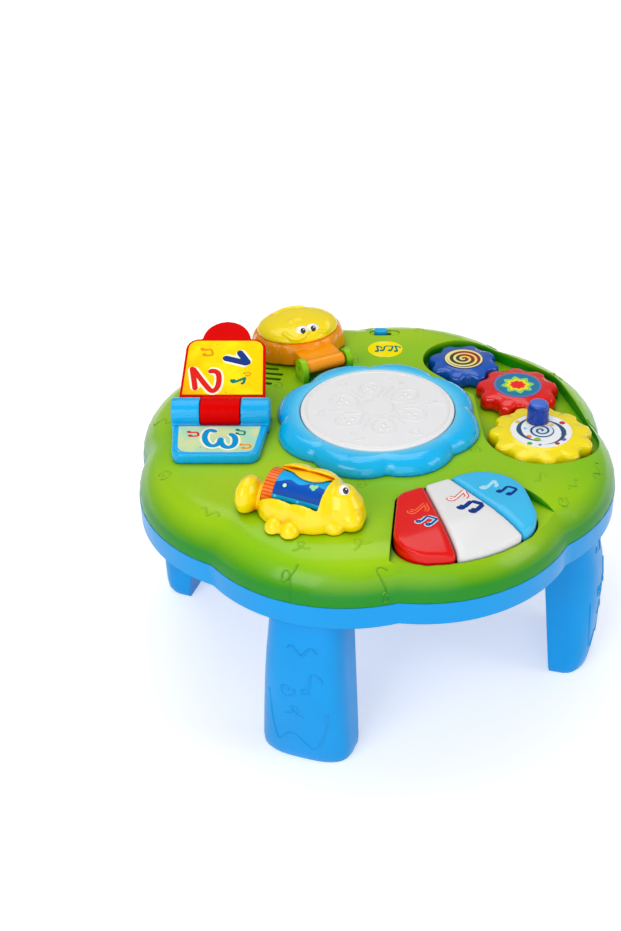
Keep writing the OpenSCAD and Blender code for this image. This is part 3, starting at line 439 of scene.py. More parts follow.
LEG_DOODLES = (
    (FOOT_SWAG, 0, 22, 19), (CURL, -8, 62, 7), (QUAVER, 9, 70, 10), (WAVE, 2, 92, 8),
    (LOOP, -3, 45, 6),
)
LEGS = {
    "leg_front_left": 225, "leg_front_right": 315, "leg_rear_left": 135, "leg_rear_right": 45,
}
OUTSIDE = 240
leg_blue = plastic(
    "leg_blue", SKIRT_BLUE, gloss=0.36, edge=1.2, mottle=0.2, coat=0.12, shine=0.2)

for node, angle in LEGS.items():
    leg = joined_copy(node)
    outer = BVHTree.FromBMesh(leg)
    turn = Matrix.Rotation(radians(angle), 4, "Z")
    inwards = turn.to_3x3() @ Vector((-1, 0, 0))
    for shape, across, up, size in LEG_DOODLES:
        for line in scaled(shape, across, up, size):
            start = [turn @ Vector((OUTSIDE, x, z)) for x, z in line]
            raised_line(leg, start, 0.75, surface=outer, aim=inwards)
    level_faces(settle(
        node + "_moulding", leg, leg_blue, node + "_body", [node]))

# ---------------------------------------------------------------- inside
# The main circuit board, the slide switch's body, the speaker and the cells
# sit in the casing's hollow. They are fixed to posts and ribs of the mouldings.


def circuit_board(name, mask, track):
    """Solder mask over a grid of copper tracks and pads."""
    material, tree, shader = new_material(name)
    place = object_place(tree)
    tracks = add_node(tree, "TexBrick", {
        "Vector": place, "Scale": 90.0, "Color1": mask, "Color2": darker(mask),
        "Mortar": track, "Mortar Size": 0.035, "Brick Width": 0.6, "Row Height": 0.21,
    }).outputs
    pads = add_node(tree, "TexVoronoi", {"Vector": place, "Scale": 210.0, "Randomness": 0.2})
    dot = maths(tree, "LESS_THAN", pads.outputs["Distance"], 0.16)
    wire(tree, shader, {
        "Base Color": over(tree, dot, tracks["Color"], (0.6, 0.6, 0.58, 1)),
        "Roughness": ramp(tree, tracks["Fac"], 0, 1, 0.42, 0.3),
    })
    return material


board_green = circuit_board("board_green", srgb(20, 92, 48), srgb(60, 140, 70))
for board in ("main_board", "light_board", "key_board"):
    finish_node(board, board_green)
finish_node("speaker", plastic("speaker_black", srgb(38, 38, 40), gloss=0.55, edge=0.3, coat=0.0))
finish_node(
    "slide_switch", plastic("switch_black", srgb(30, 30, 32), gloss=0.5, edge=0.2, coat=0.0))

CELL_LENGTH = 0.0515
BAND_START = 0.7


def cell_bands(tree):
    """A cell's plain printed jacket: a copper band at one end, black after it."""
    low = node_box("batteries")[0].x * MM
    along = add_node(tree, "SeparateXYZ", {0: object_place(tree)}).outputs["X"]
    band = add_node(tree, "ValToRGB", {0: ramp(tree, along, low, low + CELL_LENGTH)})
    band.color_ramp.interpolation = "CONSTANT"
    band.color_ramp.elements[0].color = srgb(36, 36, 40)
    band.color_ramp.elements[1].position = BAND_START
    band.color_ramp.elements[1].color = srgb(196, 120, 50)
    return band.outputs[0]


finish_node("batteries", plastic("cell_jacket_print", cell_bands, gloss=0.3, edge=0.3))
finish_node(
    "key_domes", plastic("dome_rubber", srgb(196, 198, 200), gloss=0.62, edge=0.3, coat=0.0))

# ---------------------------------------------------------------- upper casing
# The lime green play deck: one moulding with a rolled, lobed rim, a deep
# recess for the gears and a well for the keys. Fine raised doodles cover it.

DECK_GREEN = srgb(134, 198, 0)
PAINTED_SHADE_GREEN = srgb(8, 140, 6)
LIME = srgb(172, 210, 0)


def openness(tree, distance, low, high):
    """0 in a hollow, 1 on open faces: the mask for painted shade; distance in metres is how far it
    looks.
    """
    depth = add_node(tree, "AmbientOcclusion", {"Distance": distance}, samples=8)
    return ramp(tree, depth.outputs["AO"], low, high)


def deck_tones(tree):
    """Lime on top; painted shade: deeper green in the hollows and on the steep walls below the
    deck.
    """
    place = object_place(tree)
    height = add_node(tree, "SeparateXYZ", {0: place}).outputs["Z"]
    broad = add_node(tree, "TexNoise", {"Vector": place, "Scale": 9.0, "Detail": 1.0})
    top = over(tree, ramp(tree, broad.outputs["Fac"], 0.3, 0.7), DECK_GREEN, LIME)
    below = ramp(tree, height, (DECK - 0.4) * MM, (DECK - 5) * MM)
    normal = add_node(tree, "NewGeometry").outputs["Normal"]
    steep = ramp(tree, add_node(tree, "SeparateXYZ", {0: normal}).outputs["Z"], 0.85, 0.3)
    shaded = over(tree, openness(tree, 0.011, 0.16, 0.72), PAINTED_SHADE_GREEN, top)
    return over(tree, maths(tree, "MULTIPLY", below, steep), shaded, PAINTED_SHADE_GREEN)


ABOVE = 60


def doodles_on(bm, marks, half_width):
    """Raises doodles on a moulding's top side, at places counted from the drum."""
    surface = BVHTree.FromBMesh(bm)
    for shape, x, y, size, turn in marks:
        for line in scaled(shape, PLAY_X + x, PLAY_Y + y, size, turn):
            start = [(px, py, DECK + ABOVE) for px, py in line]
            raised_line(bm, start, half_width, surface=surface)


DECK_DOODLES = (
    (CURL, 41, -61, 5, 20), (QUAVER, 62, -108, 6, -30), (WAVE, 78, -122, 5, 30),
    (CURL, -44, -62, 5, 80), (LOOP, -73, -116, 6, 10), (CURL, -40, 77, 5, 60),
    (WAVE, -120, 30, 6, 80), (LOOP, -105, -101, 5, -20), (CURL, 92, 104, 6, 200),
    (WAVE, -140, -42, 6, -60), (QUAVER, -70, -140, 7, 20), (LOOP, -118, -112, 6, 40),
    (WAVE, -56, -66, 5, 10), (CURL, 24, 84, 5, 0), (LOOP, 60, 128, 7, 160),
    (WAVE, 20, 140, 7, 190), (CURL, 132, 62, 6, 90), (QUAVER, 140, -60, 7, 260),
    (WAVE, 104, -112, 7, 50), (LOOP, 148, 2, 6, 90), (QUAVER, -96, 108, 7, 40),
    (WAVE, -128, 76, 7, 120), (CURL, -150, 10, 6, 100), (LOOP, -14, 74, 4, 30),
    (CURL, 62, -132, 5, 10), (WAVE, 4, -66, 4, 0),
)
deck_green = plastic("deck_green", deck_tones, gloss=0.3, edge=1.0, mottle=0.1)
deck = joined_copy("top_shell")
doodles_on(deck, DECK_DOODLES, 0.5)
level_faces(settle(
    "upper_casing", deck, deck_green, "table", ["top_shell"], crease=28))

# ---------------------------------------------------------------- drum
# A lobed, slightly see-through blue ring clips into the deck. The pale drum
# head floats in it on a ring of foam and carries a faint raised picture.

RING_BLUE = srgb(0, 186, 246)
RING_PALE = srgb(112, 214, 250)
RING_SHADE_BLUE = srgb(0, 120, 200)
PALE_OUTER, PALE_INNER = 0.063, 0.051


def soften(piece, voxel, passes):
    """Rounds all of a moulding's edges, as the polished mould does."""
    skin = piece.modifiers.new("one skin", "REMESH")
    skin.mode = "VOXEL"
    skin.voxel_size = voxel * MM
    skin.use_smooth_shade = True
    melt = piece.modifiers.new("soft edges", "SMOOTH")
    melt.factor = 0.5
    melt.iterations = passes


def far_from_axis(tree, x, y):
    """The length of a flat step that is x across and y up."""
    return maths(tree, "SQRT", maths(tree, "MULTIPLY_ADD", x, x, maths(tree, "MULTIPLY", y, y)))


def ring_tones(tree):
    """Blue that pales towards the inner edge, with painted shade: a deeper blue in the ring's
    hollows.
    """
    parts = add_node(tree, "SeparateXYZ", {0: object_place(tree)}).outputs
    x, y = (maths(tree, "SUBTRACT", parts[k], c * MM) for k, c in ((0, PLAY_X), (1, PLAY_Y)))
    inner = ramp(tree, far_from_axis(tree, x, y), PALE_OUTER, PALE_INNER, 0.0, 0.85,
                 interpolation_type="SMOOTHSTEP")
    shaded = over(tree, openness(tree, 0.008, 0.3, 0.85), RING_SHADE_BLUE, RING_BLUE)
    return over(tree, inner, shaded, RING_PALE)


RING_DOODLES = (
    (CURL, 62, -8, 2.6, 0), (LOOP, -44, -46, 3.4, -50), (QUAVER, -62, 14, 3.4, 70),
    (CURL, 8, 62, 2.6, 20), (WAVE, 44, -46, 3, 45),
)
ring_blue = plastic("ring_blue", ring_tones, gloss=0.2, edge=0.8, coat=0.5, through=0.2, mottle=0.1)
ring = joined_copy("drum_ring")
doodles_on(ring, RING_DOODLES, 0.4)
drum_ring = settle("drum_ring_moulding", ring, ring_blue, "table", ["drum_ring"])
soften(drum_ring, 0.75, 6)


def head_relief(bm, level):
    """The drum head's raised picture: rings, petals, notes and small beads."""
    for radius, half in ((11, 0.7), (48.6, 0.8)):
        steps = [radians(a) for a in range(0, 365, 6)]
        circle = [(radius * cos(a), radius * sin(a), level) for a in steps]
        raised_line(bm, circle, half, flat=0.6, round_ends=False)
    for k in range(6):
        petal_turn = Matrix.Rotation(radians(60 * k + 12), 4, "Z")
        petal = [(13, 0), (19, 7), (29, 8.5), (36, 0), (29, -8.5), (19, -7), (13, 0)]
        raised_line(bm, [petal_turn @ Vector((x, y, level)) for x, y in petal], 1.0, flat=0.6)
        for x, y in ((22, 0), (27, 2.4), (27, -2.4)):
            ball = bmesh.ops.create_uvsphere(bm, u_segments=16, v_segments=8, radius=1.8)
            bmesh.ops.scale(bm, vec=(1, 1, 0.4), verts=ball["verts"])
            spot = petal_turn @ Vector((x, y, level))
            bmesh.ops.translate(bm, vec=spot, verts=ball["verts"])
        between = Matrix.Rotation(radians(60 * k + 42), 4, "Z")
        shape = (QUAVER, CURL, LOOP)[k % 3]
        for line, half in [(line, 0.8) for line in scaled(shape, 39, 0, 6)] + [
            ([(14, 0), (22, 0.6), (31, 0)], 1.0),
        ]:
            raised_line(bm, [between @ Vector((x, y, level)) for x, y in line], half, flat=0.6)


def turned(profile, segments=128):
    """A closed profile of (radius, height) points, spun once round."""
    bm = bmesh.new()
    verts = [bm.verts.new((r, 0, z)) for r, z in profile]
    edges = [bm.edges.new(pair) for pair in zip(verts, verts[1:] + verts[:1])]
    bmesh.ops.spin(bm, geom=verts + edges, cent=(0, 0, 0), axis=(0, 0, 1), angle=2 * pi,
                   steps=segments, use_merge=True)
    bmesh.ops.remove_doubles(bm, verts=bm.verts, dist=0.0005)
    bmesh.ops.recalc_face_normals(bm, faces=bm.faces)
    return bm


def arc(centre_r, centre_z, radius, start, end, steps=6):
    """Points of a quarter round on a turned profile."""
    angles = [radians(start + (end - start) * k / steps) for k in range(steps + 1)]
    return [(centre_r + radius * cos(a), centre_z + radius * sin(a)) for a in angles]


HEAD_WHITE = srgb(240, 240, 242)
FLANGE = 2.6
SKIN = 2.4
head_low, head_high = node_box("drum_head")
head_r = (head_high.x - head_low.x) / 2 - FLANGE
head_top = head_high.z - 0.5
foot = head_low.z
head = turned(
    [(0, head_top - SKIN), (head_r - 2.5, head_top - SKIN), (head_r - 2.5, foot),
     (head_r + FLANGE, foot), (head_r + FLANGE, foot + 2), (head_r, foot + 2)]
    + arc(head_r - 1.0, head_top - 1.0, 1.0, 0, 90)
    + [(head_r - 5, head_top + 0.1), (0, head_top + 0.3)]
)
head_relief(head, head_top + 0.05)
head_white = plastic(
    "head_white", HEAD_WHITE, gloss=0.36, coat=0.3, through=0.1, mottle=0.05, grain=700.0)
drum_place = Matrix.Translation((PLAY_X, PLAY_Y, 0))
settle("drum_head_moulding", head, head_white, "drum_head_body", ["drum_head"],
       place=drum_place)


def foam(name, colour):
    """Open-cell foam: small pits darkened with painted shade, in a soft matt body."""
    material, tree, shader = new_material(name)
    cells = add_node(tree, "TexVoronoi", {"Vector": object_place(tree), "Scale": 900.0})
    deep = cells.outputs["Distance"]
    pit_shade = ramp(tree, deep, 0.1, 0.6, 0.55, 1.0)
    shade = add_node(tree, "VectorMath", {0: colour, "Scale": pit_shade}, operation="SCALE")
    bump = add_node(tree, "Bump", {"Strength": 0.6, "Distance": 0.0006, "Height": deep})
    wire(tree, shader, {
        "Base Color": shade.outputs[0], "Normal": bump.outputs[0], "Roughness": 0.92,
    })
    return material


finish_node("drum_foam_ring", foam("drum_foam", (0.12, 0.12, 0.13)))


def clear_lens(name, colour):
    """Tinted epoxy of a small lamp, a little cloudy."""
    material, tree, shader = new_material(name)
    haze = add_node(tree, "TexNoise", {"Vector": object_place(tree), "Scale": 400.0})
    wire(tree, shader, {
        "Base Color": over(tree, haze.outputs["Fac"], colour, (1, 0.9, 0.75, 1)),
        "Roughness": 0.12, "Transmission Weight": 0.4,
    })
    return material


finish_node("drum_leds", clear_lens("amber_lens", srgb(255, 140, 40)))

# ---------------------------------------------------------------- keys
# Three glossy keys share one pivot pin below the deck's edge. Each is a thin
# shell that rolls down at its front, with a note printed on its flat part.


def printed_film(name, colour):
    """Flat ink or sticker film with a very fine screen in it."""
    return plastic(name, colour, gloss=0.34, mottle=0.08, grain=2600.0, depth=0.01, coat=0.0,
                   shine=0.05)


LIFT = 0.02


def printed(name, marks, body, level, place):
    """Printed marks: (lines, half width, colour) laid one over the next."""
    for k, (lines, half, ink) in enumerate(marks):
        bm = bmesh.new()
        for line in lines:
            points = [(x, y, level + LIFT) for x, y in line]
            raised_line(bm, points, half, flat=(0.08 + 0.035 * k) / half)
        settle("%s_%d" % (name, k + 1), bm, ink, body, place=place)


ink_red = printed_film("ink_red", srgb(226, 30, 24))
ink_navy = printed_film("ink_navy", srgb(22, 56, 136))
ink_blue = printed_film("ink_blue", srgb(0, 150, 214))
ink_white = printed_film("ink_white", srgb(240, 240, 238))
ink_orange = printed_film("ink_orange", srgb(250, 120, 70))
ink_sky = printed_film("ink_sky", srgb(170, 226, 248))
SINGLE_NOTE = [
    [(-0.5, -0.8), (-0.2, -0.6), (0.1, -0.75), (-0.1, -1.05), (-0.45, -1.05), (-0.5, -0.8)],
    [(0.08, -0.75), (0.1, 0.2), (0.1, 1.1)],
    [(0.1, 1.1), (0.4, 0.7), (0.85, 0.45), (0.8, -0.05)],
]
PAIR_NOTE = [
    [(-1.0, -0.7), (-0.75, -0.5), (-0.45, -0.65), (-0.6, -0.95), (-0.95, -0.95), (-1.0, -0.7)],
    [(0.4, -0.5), (0.65, -0.3), (0.95, -0.45), (0.8, -0.75), (0.45, -0.75), (0.4, -0.5)],
    [(-0.45, -0.65), (-0.42, 0.2), (-0.4, 0.9)],
    [(0.95, -0.45), (0.98, 0.4), (1.0, 1.1)],
    [(-0.4, 0.9), (0.3, 1.0), (1.0, 1.1)],
]
KEYS = {
    "red": (srgb(228, 8, 4), "red_plastic"),
    "white": (srgb(232, 232, 233), "white_plastic"),
    "blue": (srgb(58, 190, 240), "pale_blue_plastic"),
}
for colour, (paint, slot) in KEYS.items():
    node = "key_" + colour
    key_plastic = plastic(
        node + "_plastic", paint, gloss=0.22, coat=0.3, mottle=0.05, depth=0.008, shine=0.2)
    key = settle(
        node + "_moulding", joined_copy(node), key_plastic, node + "_body", [node])
    soften(key, 0.8, 60)

KEY_TOP = node_box("key_white")[1].z
NOTE_TURN = -62
for colour, word, shape, x, y, size, layers in (
    ("red", "print", SINGLE_NOTE, -27, -105.5, 6.4, ((1.3, ink_orange), (0.7, ink_red))),
    ("red", "notes", PAIR_NOTE, -29, -119, 4.6, ((1.6, ink_sky), (0.9, ink_navy))),
    ("white", "print", SINGLE_NOTE, 1.5, -105, 6.4, ((1.5, ink_red), (1.0, ink_white))),
    ("white", "notes", PAIR_NOTE, 2.5, -118.5, 5.6, ((1.6, ink_navy),)),
    ("blue", "print", SINGLE_NOTE, 25, -104, 5.6, ((1.2, ink_sky),)),
    ("blue", "notes", PAIR_NOTE, 31.5, -114.6, 4.6, ((1.0, ink_navy),)),
):
    lines = scaled(shape, x, y, size, NOTE_TURN)
    printed("key_%s_%s" % (colour, word), [(lines, half, ink) for half, ink in layers],
            "key_%s_body" % colour, KEY_TOP, drum_place)

# ---------------------------------------------------------------- gears
# Three thick gears turn on steel axles in the deep recess. Each is a hollow
# cap whose rounded teeth slope down and outwards from a raised disc seat.

MODULE = 6.2
TOOTH_HEIGHT = 2.1
GEAR_BOTTOM = node_box("gear_red")[0].z + 0.3
SEAT_TOP = node_box("gear_red_disc")[0].z
GEAR_TOP = SEAT_TOP - 0.8


def tooth_wave(angle):
    """+1 along a tooth's tip, -1 along a gap, with rounded flanks between."""
    return max(-1, min(1, 1.35 * cos(angle)))


def gear_cap(teeth, phase, pitch_r, seat_r):
    """A gear's cap: waved rings that draw in from the foot up to the seat."""
    bm = bmesh.new()
    low, high = GEAR_BOTTOM, GEAR_TOP
    rings = (
        (low + 1.2, pitch_r - 6, 1.0), (low, pitch_r - 0.8, 1.0), (low + 0.8, pitch_r - 0.25, 1.0),
        (low + 4, pitch_r - 0.25, 1.0), (low + 6.6, pitch_r - 0.7, 0.98),
        (high - 1.3, pitch_r - 1.6, 0.85), (high - 0.3, pitch_r - 3.0, 0.5),
        (high + 0.25, seat_r + 2.2, 0.12), (SEAT_TOP - 0.35, seat_r + 0.95, 0.0),
        (SEAT_TOP - 0.02, seat_r + 0.5, 0.0), (SEAT_TOP - 0.02, seat_r - 1.5, 0.0),
    )
    fresh = bmesh.ops.create_circle(bm, cap_ends=False, segments=teeth * 24, radius=1)["verts"]
    edges = bm.edges[:]
    for k, (z, r, share) in enumerate(rings):
        if k:
            grown = bmesh.ops.extrude_edge_only(bm, edges=edges)["geom"]
            fresh = [g for g in grown if isinstance(g, bmesh.types.BMVert)]
            edges = [g for g in grown if isinstance(g, bmesh.types.BMEdge)]
        for v in fresh:
            a = atan2(v.co.y, v.co.x)
            reach = r + TOOTH_HEIGHT * share * tooth_wave((a - radians(phase)) * teeth)
            v.co = (reach * cos(a), reach * sin(a), z)
    bmesh.ops.edgeloop_fill(bm, edges=edges)
    bmesh.ops.edgeloop_fill(bm, edges=[e for e in bm.edges if e.is_boundary])
    bmesh.ops.recalc_face_normals(bm, faces=bm.faces)
    return bm


def centred(tree, node, turn=0.0):
    """Distance in millimetres, angle, x and y about a disc's middle."""
    x, y = node_middle(node)
    moved = add_node(tree, "Mapping", {
        "Vector": object_place(tree), "Location": (-x, -y, 0), "Scale": (1 / MM, 1 / MM, 1),
    }).outputs[0]
    about = add_node(tree, "VectorRotate", {"Vector": moved, "Angle": radians(turn)},
                     rotation_type="Z_AXIS").outputs[0]
    x, y = add_node(tree, "SeparateXYZ", {0: about}).outputs[:2]
    return far_from_axis(tree, x, y), maths(tree, "ARCTAN2", y, x), x, y


def edge_step(tree, value, limit, blur=0.25):
    """1 where the value is above the limit, with a narrow soft edge."""
    return ramp(tree, value, limit - blur, limit + blur)


def under(tree, value, limit, blur=0.25):
    """1 where the value is below the limit, with a narrow soft edge."""
    return maths(tree, "SUBTRACT", 1.0, edge_step(tree, value, limit, blur))


def blue_gear_sticker(tree):
    """A cream spiral on brown and red, inside a dark rim."""
    radius, angle, _, _ = centred(tree, "gear_blue_disc", 40)
    lap = maths(tree, "MULTIPLY_ADD", angle, 1 / (2 * pi), maths(tree, "MULTIPLY", radius, 1 / 4.6))
    wave = maths(tree, "PINGPONG", maths(tree, "FRACT", lap), 0.5)
    side = ramp(tree, maths(tree, "SINE", maths(tree, "ADD", angle, 0.6)), -0.4, 0.9)
    ground = over(tree, side, srgb(52, 58, 10), srgb(150, 20, 8))
    cream = over(tree, side, srgb(250, 236, 150), srgb(255, 214, 96))
    spiral = over(tree, edge_step(tree, wave, 0.21, 0.035), cream, ground)
    rim = over(tree, edge_step(tree, radius, 12.4), spiral, srgb(250, 236, 170))
    return over(tree, edge_step(tree, radius, 13.9), rim, srgb(30, 52, 50))


def red_gear_sticker(tree):
    """A steel-blue ring round an eight-pointed star with a red heart."""
    radius, angle, _, _ = centred(tree, "gear_red_disc")
    point = maths(tree, "PINGPONG", maths(tree, "MULTIPLY", angle, 8 / (2 * pi)), 0.5)
    star, inner, small = (
        maths(tree, "MULTIPLY_ADD", point, -reach, radius) for reach in (7.0, 5.0, 2.4))
    colour = srgb(0, 122, 166)
    for value, limit, ink in (
        (star, 8.6, srgb(120, 225, 190)), (star, 7.9, srgb(160, 220, 20)),
        (inner, 6.4, srgb(255, 240, 10)), (small, 5.0, srgb(255, 120, 0)),
        (small, 4.2, srgb(250, 6, 4)),
    ):
        colour = over(tree, edge_step(tree, value, limit), ink, colour)
    return over(tree, edge_step(tree, radius, 15.6), colour, srgb(96, 124, 190))


def yellow_gear_sticker(tree):
    """A thick dark swirl, a thin spiral inside it and dots in many colours."""
    radius, angle, x, y = centred(tree, "gear_yellow_disc", -62)
    lap = maths(tree, "MULTIPLY_ADD", angle, 1 / (2 * pi), 0.5)
    arm = maths(tree, "FRACT", maths(tree, "MULTIPLY", lap, 2.0))
    middle = maths(tree, "MULTIPLY_ADD", arm, -4.4, 17.2)
    half = maths(tree, "MULTIPLY_ADD", maths(tree, "PINGPONG", arm, 0.5), 3.6, 0.15)
    away = maths(tree, "ABSOLUTE", maths(tree, "SUBTRACT", radius, middle))
    swirl = edge_step(tree, maths(tree, "SUBTRACT", half, away), 0.1)
    wound = maths(tree, "MULTIPLY", radius, 1 / 3.9)
    lap = maths(tree, "MULTIPLY_ADD", angle, -1 / (2 * pi), wound)
    fine = maths(tree, "PINGPONG", maths(tree, "FRACT", lap), 0.5)
    inside = under(tree, radius, 8.8)
    spiral = maths(tree, "MULTIPLY", edge_step(tree, fine, 0.31, 0.05), inside)
    tint = maths(tree, "MULTIPLY", inside, 0.35)
    colour = over(tree, tint, srgb(246, 248, 250), srgb(196, 232, 244))
    dots = (
        (18.2, -57, 2.1, srgb(214, 10, 40)), (18.6, -14, 1.7, srgb(120, 206, 240)),
        (15.4, -106, 2.0, srgb(240, 130, 50)), (17.6, -128, 2.0, srgb(140, 80, 190)),
        (18.4, -150, 1.7, srgb(190, 30, 30)), (11.8, 130, 2.0, srgb(244, 140, 50)),
        (11.6, 162, 2.3, srgb(150, 205, 20)), (17.8, 172, 1.2, srgb(140, 130, 150)),
        (11.0, -18, 1.2, srgb(150, 20, 60)), (10.8, -48, 1.5, srgb(246, 200, 90)),
        (11.6, 20, 1.4, srgb(150, 90, 190)), (18.6, 54, 1.8, srgb(240, 200, 30)),
        (18.4, 150, 1.8, srgb(60, 180, 90)), (11.0, 76, 1.3, srgb(110, 200, 240)),
    )
    for reach, heading, size, ink in dots:
        dx = maths(tree, "SUBTRACT", x, reach * cos(radians(heading)))
        dy = maths(tree, "SUBTRACT", y, reach * sin(radians(heading)))
        colour = over(tree, under(tree, far_from_axis(tree, dx, dy), size), colour, ink)
    return over(tree, maths(tree, "MAXIMUM", swirl, spiral), colour, srgb(8, 78, 120))


def hollow_shade(light, deep):
    """Painted shade: a warm, deeper colour in the hollows of a moulding."""
    return lambda tree: over(tree, openness(tree, 0.007, 0.25, 0.8), deep, light)


# The two colours of each gear: its open colour, and the painted shade in its hollows.
GEARS = {
    "gear_blue": (8, "navy_plastic", srgb(4, 84, 186), srgb(0, 48, 136), blue_gear_sticker),
    "gear_red": (9, "red_plastic", srgb(232, 12, 6), srgb(150, 0, 0), red_gear_sticker),
    "gear_yellow": (
        11, "yellow_plastic", srgb(255, 232, 0), srgb(255, 168, 0), yellow_gear_sticker),
}


def gear_phase(node, teeth):
    """The heading of one tooth, read off the CAD gear's own outline."""
    x, y = node_middle(node + "_disc")
    step = 360 / teeth
    far = {}
    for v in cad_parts[node].data.vertices:
        p = v.co / MM
        if p.z < GEAR_BOTTOM + 5:
            a = round(degrees(atan2(p.y - y, p.x - x)) % step * 4) / 4
            far[a] = max(far.get(a, 0), hypot(p.x - x, p.y - y))
    top = max(far.values()) - 0.02
    best = [radians(a * teeth) for a, r in far.items() if r > top]
    return degrees(atan2(sum(map(sin, best)), sum(map(cos, best)))) / teeth % step


for node, (teeth, slot, light, deep, sticker) in GEARS.items():
    x, y = node_middle(node + "_disc")
    low, high = node_box(node + "_disc")
    seat_r = (high.x - low.x) / 2 + 0.6
    gear_plastic = plastic(
        node + "_plastic", hollow_shade(light, deep), gloss=0.24, coat=0.5, mottle=0.06)
    cap = gear_cap(teeth, gear_phase(node, teeth), MODULE * teeth / 2, seat_r)
    settle(node + "_cap", cap, gear_plastic, node + "_body", [node],
           place=Matrix.Translation((x, y, 0)), crease=50)
    finish_node(node + "_disc", plastic(
        node + "_sticker", sticker, gloss=0.3, coat=0.5, mottle=0.03, depth=0.005))

# ---------------------------------------------------------------- crank knob
# The navy knob turns on a pin of the yellow gear. It tapers a little towards
# a paler rounded top, and fine ribs give fingers a hold.

knob_low, knob_high = node_box("crank_knob")
knob_r = (knob_high.x - knob_low.x) / 2
base, top = knob_low.z, knob_high.z
BORE = 3.3
KNOB_RIBS = 24
knob = turned(
    [(BORE, base), (knob_r - 0.3, base), (knob_r, base + 0.5), (knob_r - 0.2, top - 4.6),
     (knob_r - 0.5, top - 4.3), (knob_r - 0.5, top - 3.8)]
    + arc(knob_r - 3.2, top - 2.6, 2.5, 0, 80)
    + [(1.5, top), (0, top), (0, top - 3), (BORE, top - 3)],
    72)
for v in knob.verts:
    reach = hypot(v.co.x, v.co.y)
    if reach > knob_r - 0.6 and base + 0.6 < v.co.z < top - 4:
        v.co.xy *= 1 + 0.12 * cos(KNOB_RIBS * atan2(v.co.y, v.co.x)) / reach


def knob_tones(tree):
    """Navy sides and a paler top."""
    height = add_node(tree, "SeparateXYZ", {0: object_place(tree)}).outputs["Z"]
    share = ramp(tree, height, (top - 1.6) * MM, (top - 0.3) * MM)
    return over(tree, share, srgb(4, 60, 166), srgb(70, 112, 214))


knob_navy = plastic("knob_navy", knob_tones, gloss=0.26, coat=0.4)
settle("crank_knob_turning", knob, knob_navy, "knob_body", ["crank_knob"],
       place=Matrix.Translation((*node_middle("crank_knob"), 0)))

# ---------------------------------------------------------------- lion flap
# A flap that lifts on a hinge: an orange lobed mane moulding with the hinge
# barrel, a yellow face shell pressed onto it, and eyes that are glossy domes.

mane_orange = plastic("mane_orange", hollow_shade(srgb(255, 156, 0), srgb(255, 116, 0)),
                      gloss=0.26, coat=0.4, mottle=0.1)
mane = settle("lion_mane_moulding", joined_copy("lion_mane"), mane_orange, "lion_body",
              ["lion_mane"])
soften(mane, 0.62, 10)

FACE_RIDGES = (
    ([(-9, -6), (-5, -3.5), (2, -4)], 1.3), ([(-18, -14), (-15, -22), (-7, -24.5), (-1, -21)], 1.7),
    ([(19, -12), (17, -20), (10, -23.5), (4, -21.5)], 1.6), ([(-12, 14), (0, 20), (12, 14)], 1.4),
)
face_x, face_y = node_middle("lion_face")
face_high = node_box("lion_face")[1].z
face = joined_copy("lion_face")
face_skin = BVHTree.FromBMesh(face)
for ridge, half in FACE_RIDGES:
    start = [(face_x + x, face_y + y, face_high + 20) for x, y in ridge]
    raised_line(face, start, half, surface=face_skin)
face_yellow = plastic("face_yellow", hollow_shade(srgb(255, 228, 0), srgb(255, 190, 0)),
                      gloss=0.24, coat=0.4, mottle=0.06)
face_piece = settle("lion_face_moulding", face, face_yellow, "lion_body",
                    ["lion_face"])
soften(face_piece, 0.6, 8)

eye_white = plastic("eye_white", srgb(250, 250, 244), gloss=0.12, coat=0.8, mottle=0.03)
eye_black = plastic("eye_black", srgb(10, 8, 10), gloss=0.1, coat=0.8, mottle=0.05)


def eye_piece(name, node, body, patch, gaze, pair=False):
    """Eyes as flat glossy domes: a white patch, a black pupil and a glint, a small white dome that
    is a painted highlight.
    """
    eyes = joined_copy(node)
    points = [v.co.copy() for v in eyes.verts]
    eyes.free()
    middle_x = node_middle(node)[0]
    sides = [
        [p for p in points if p.x < middle_x], [p for p in points if p.x >= middle_x],
    ] if pair else [points]
    tilt = Vector(gaze).to_track_quat("Z", "Y").to_matrix().to_4x4()
    for part, ink, size, lift, shift_x, shift_y, stands_for in (
        ("whites", eye_white, patch, 0.0, 0, 0, [node]),
        ("pupils", eye_black, (0.62, 0.74, 0.5), 0.62, 0.1, -0.12, ()),
        ("glints", eye_white, (0.17, 0.2, 0.16), 1.04, 0.2, 0.04, ()),
    ):
        bm = bmesh.new()
        for side in sides:
            low, high = (
                Vector([edge(p[k] for p in side) for k in range(3)]) for edge in (min, max))
            r = (high.x - low.x) / 2
            ball = bmesh.ops.create_uvsphere(bm, u_segments=32, v_segments=16, radius=r)["verts"]
            bmesh.ops.scale(bm, vec=size, verts=ball)
            bmesh.ops.translate(bm, vec=Vector((shift_x, shift_y, lift)) * r, verts=ball)
            seat = Matrix.Translation((low + high) / 2) @ tilt
            bmesh.ops.transform(bm, matrix=seat, verts=ball)
        settle("%s_%s" % (name, part), bm, ink, body, stands_for)


eye_piece("lion_eye", "lion_eyes", "lion_body", (1.75, 1.35, 0.7), (-0.1, -0.75, 0.75), pair=True)

# ---------------------------------------------------------------- flip book
# A blue base with two hinge lugs and a red house-shaped page that flips over
# on a ribbed spine. Printed cards with numbers are glued to both.

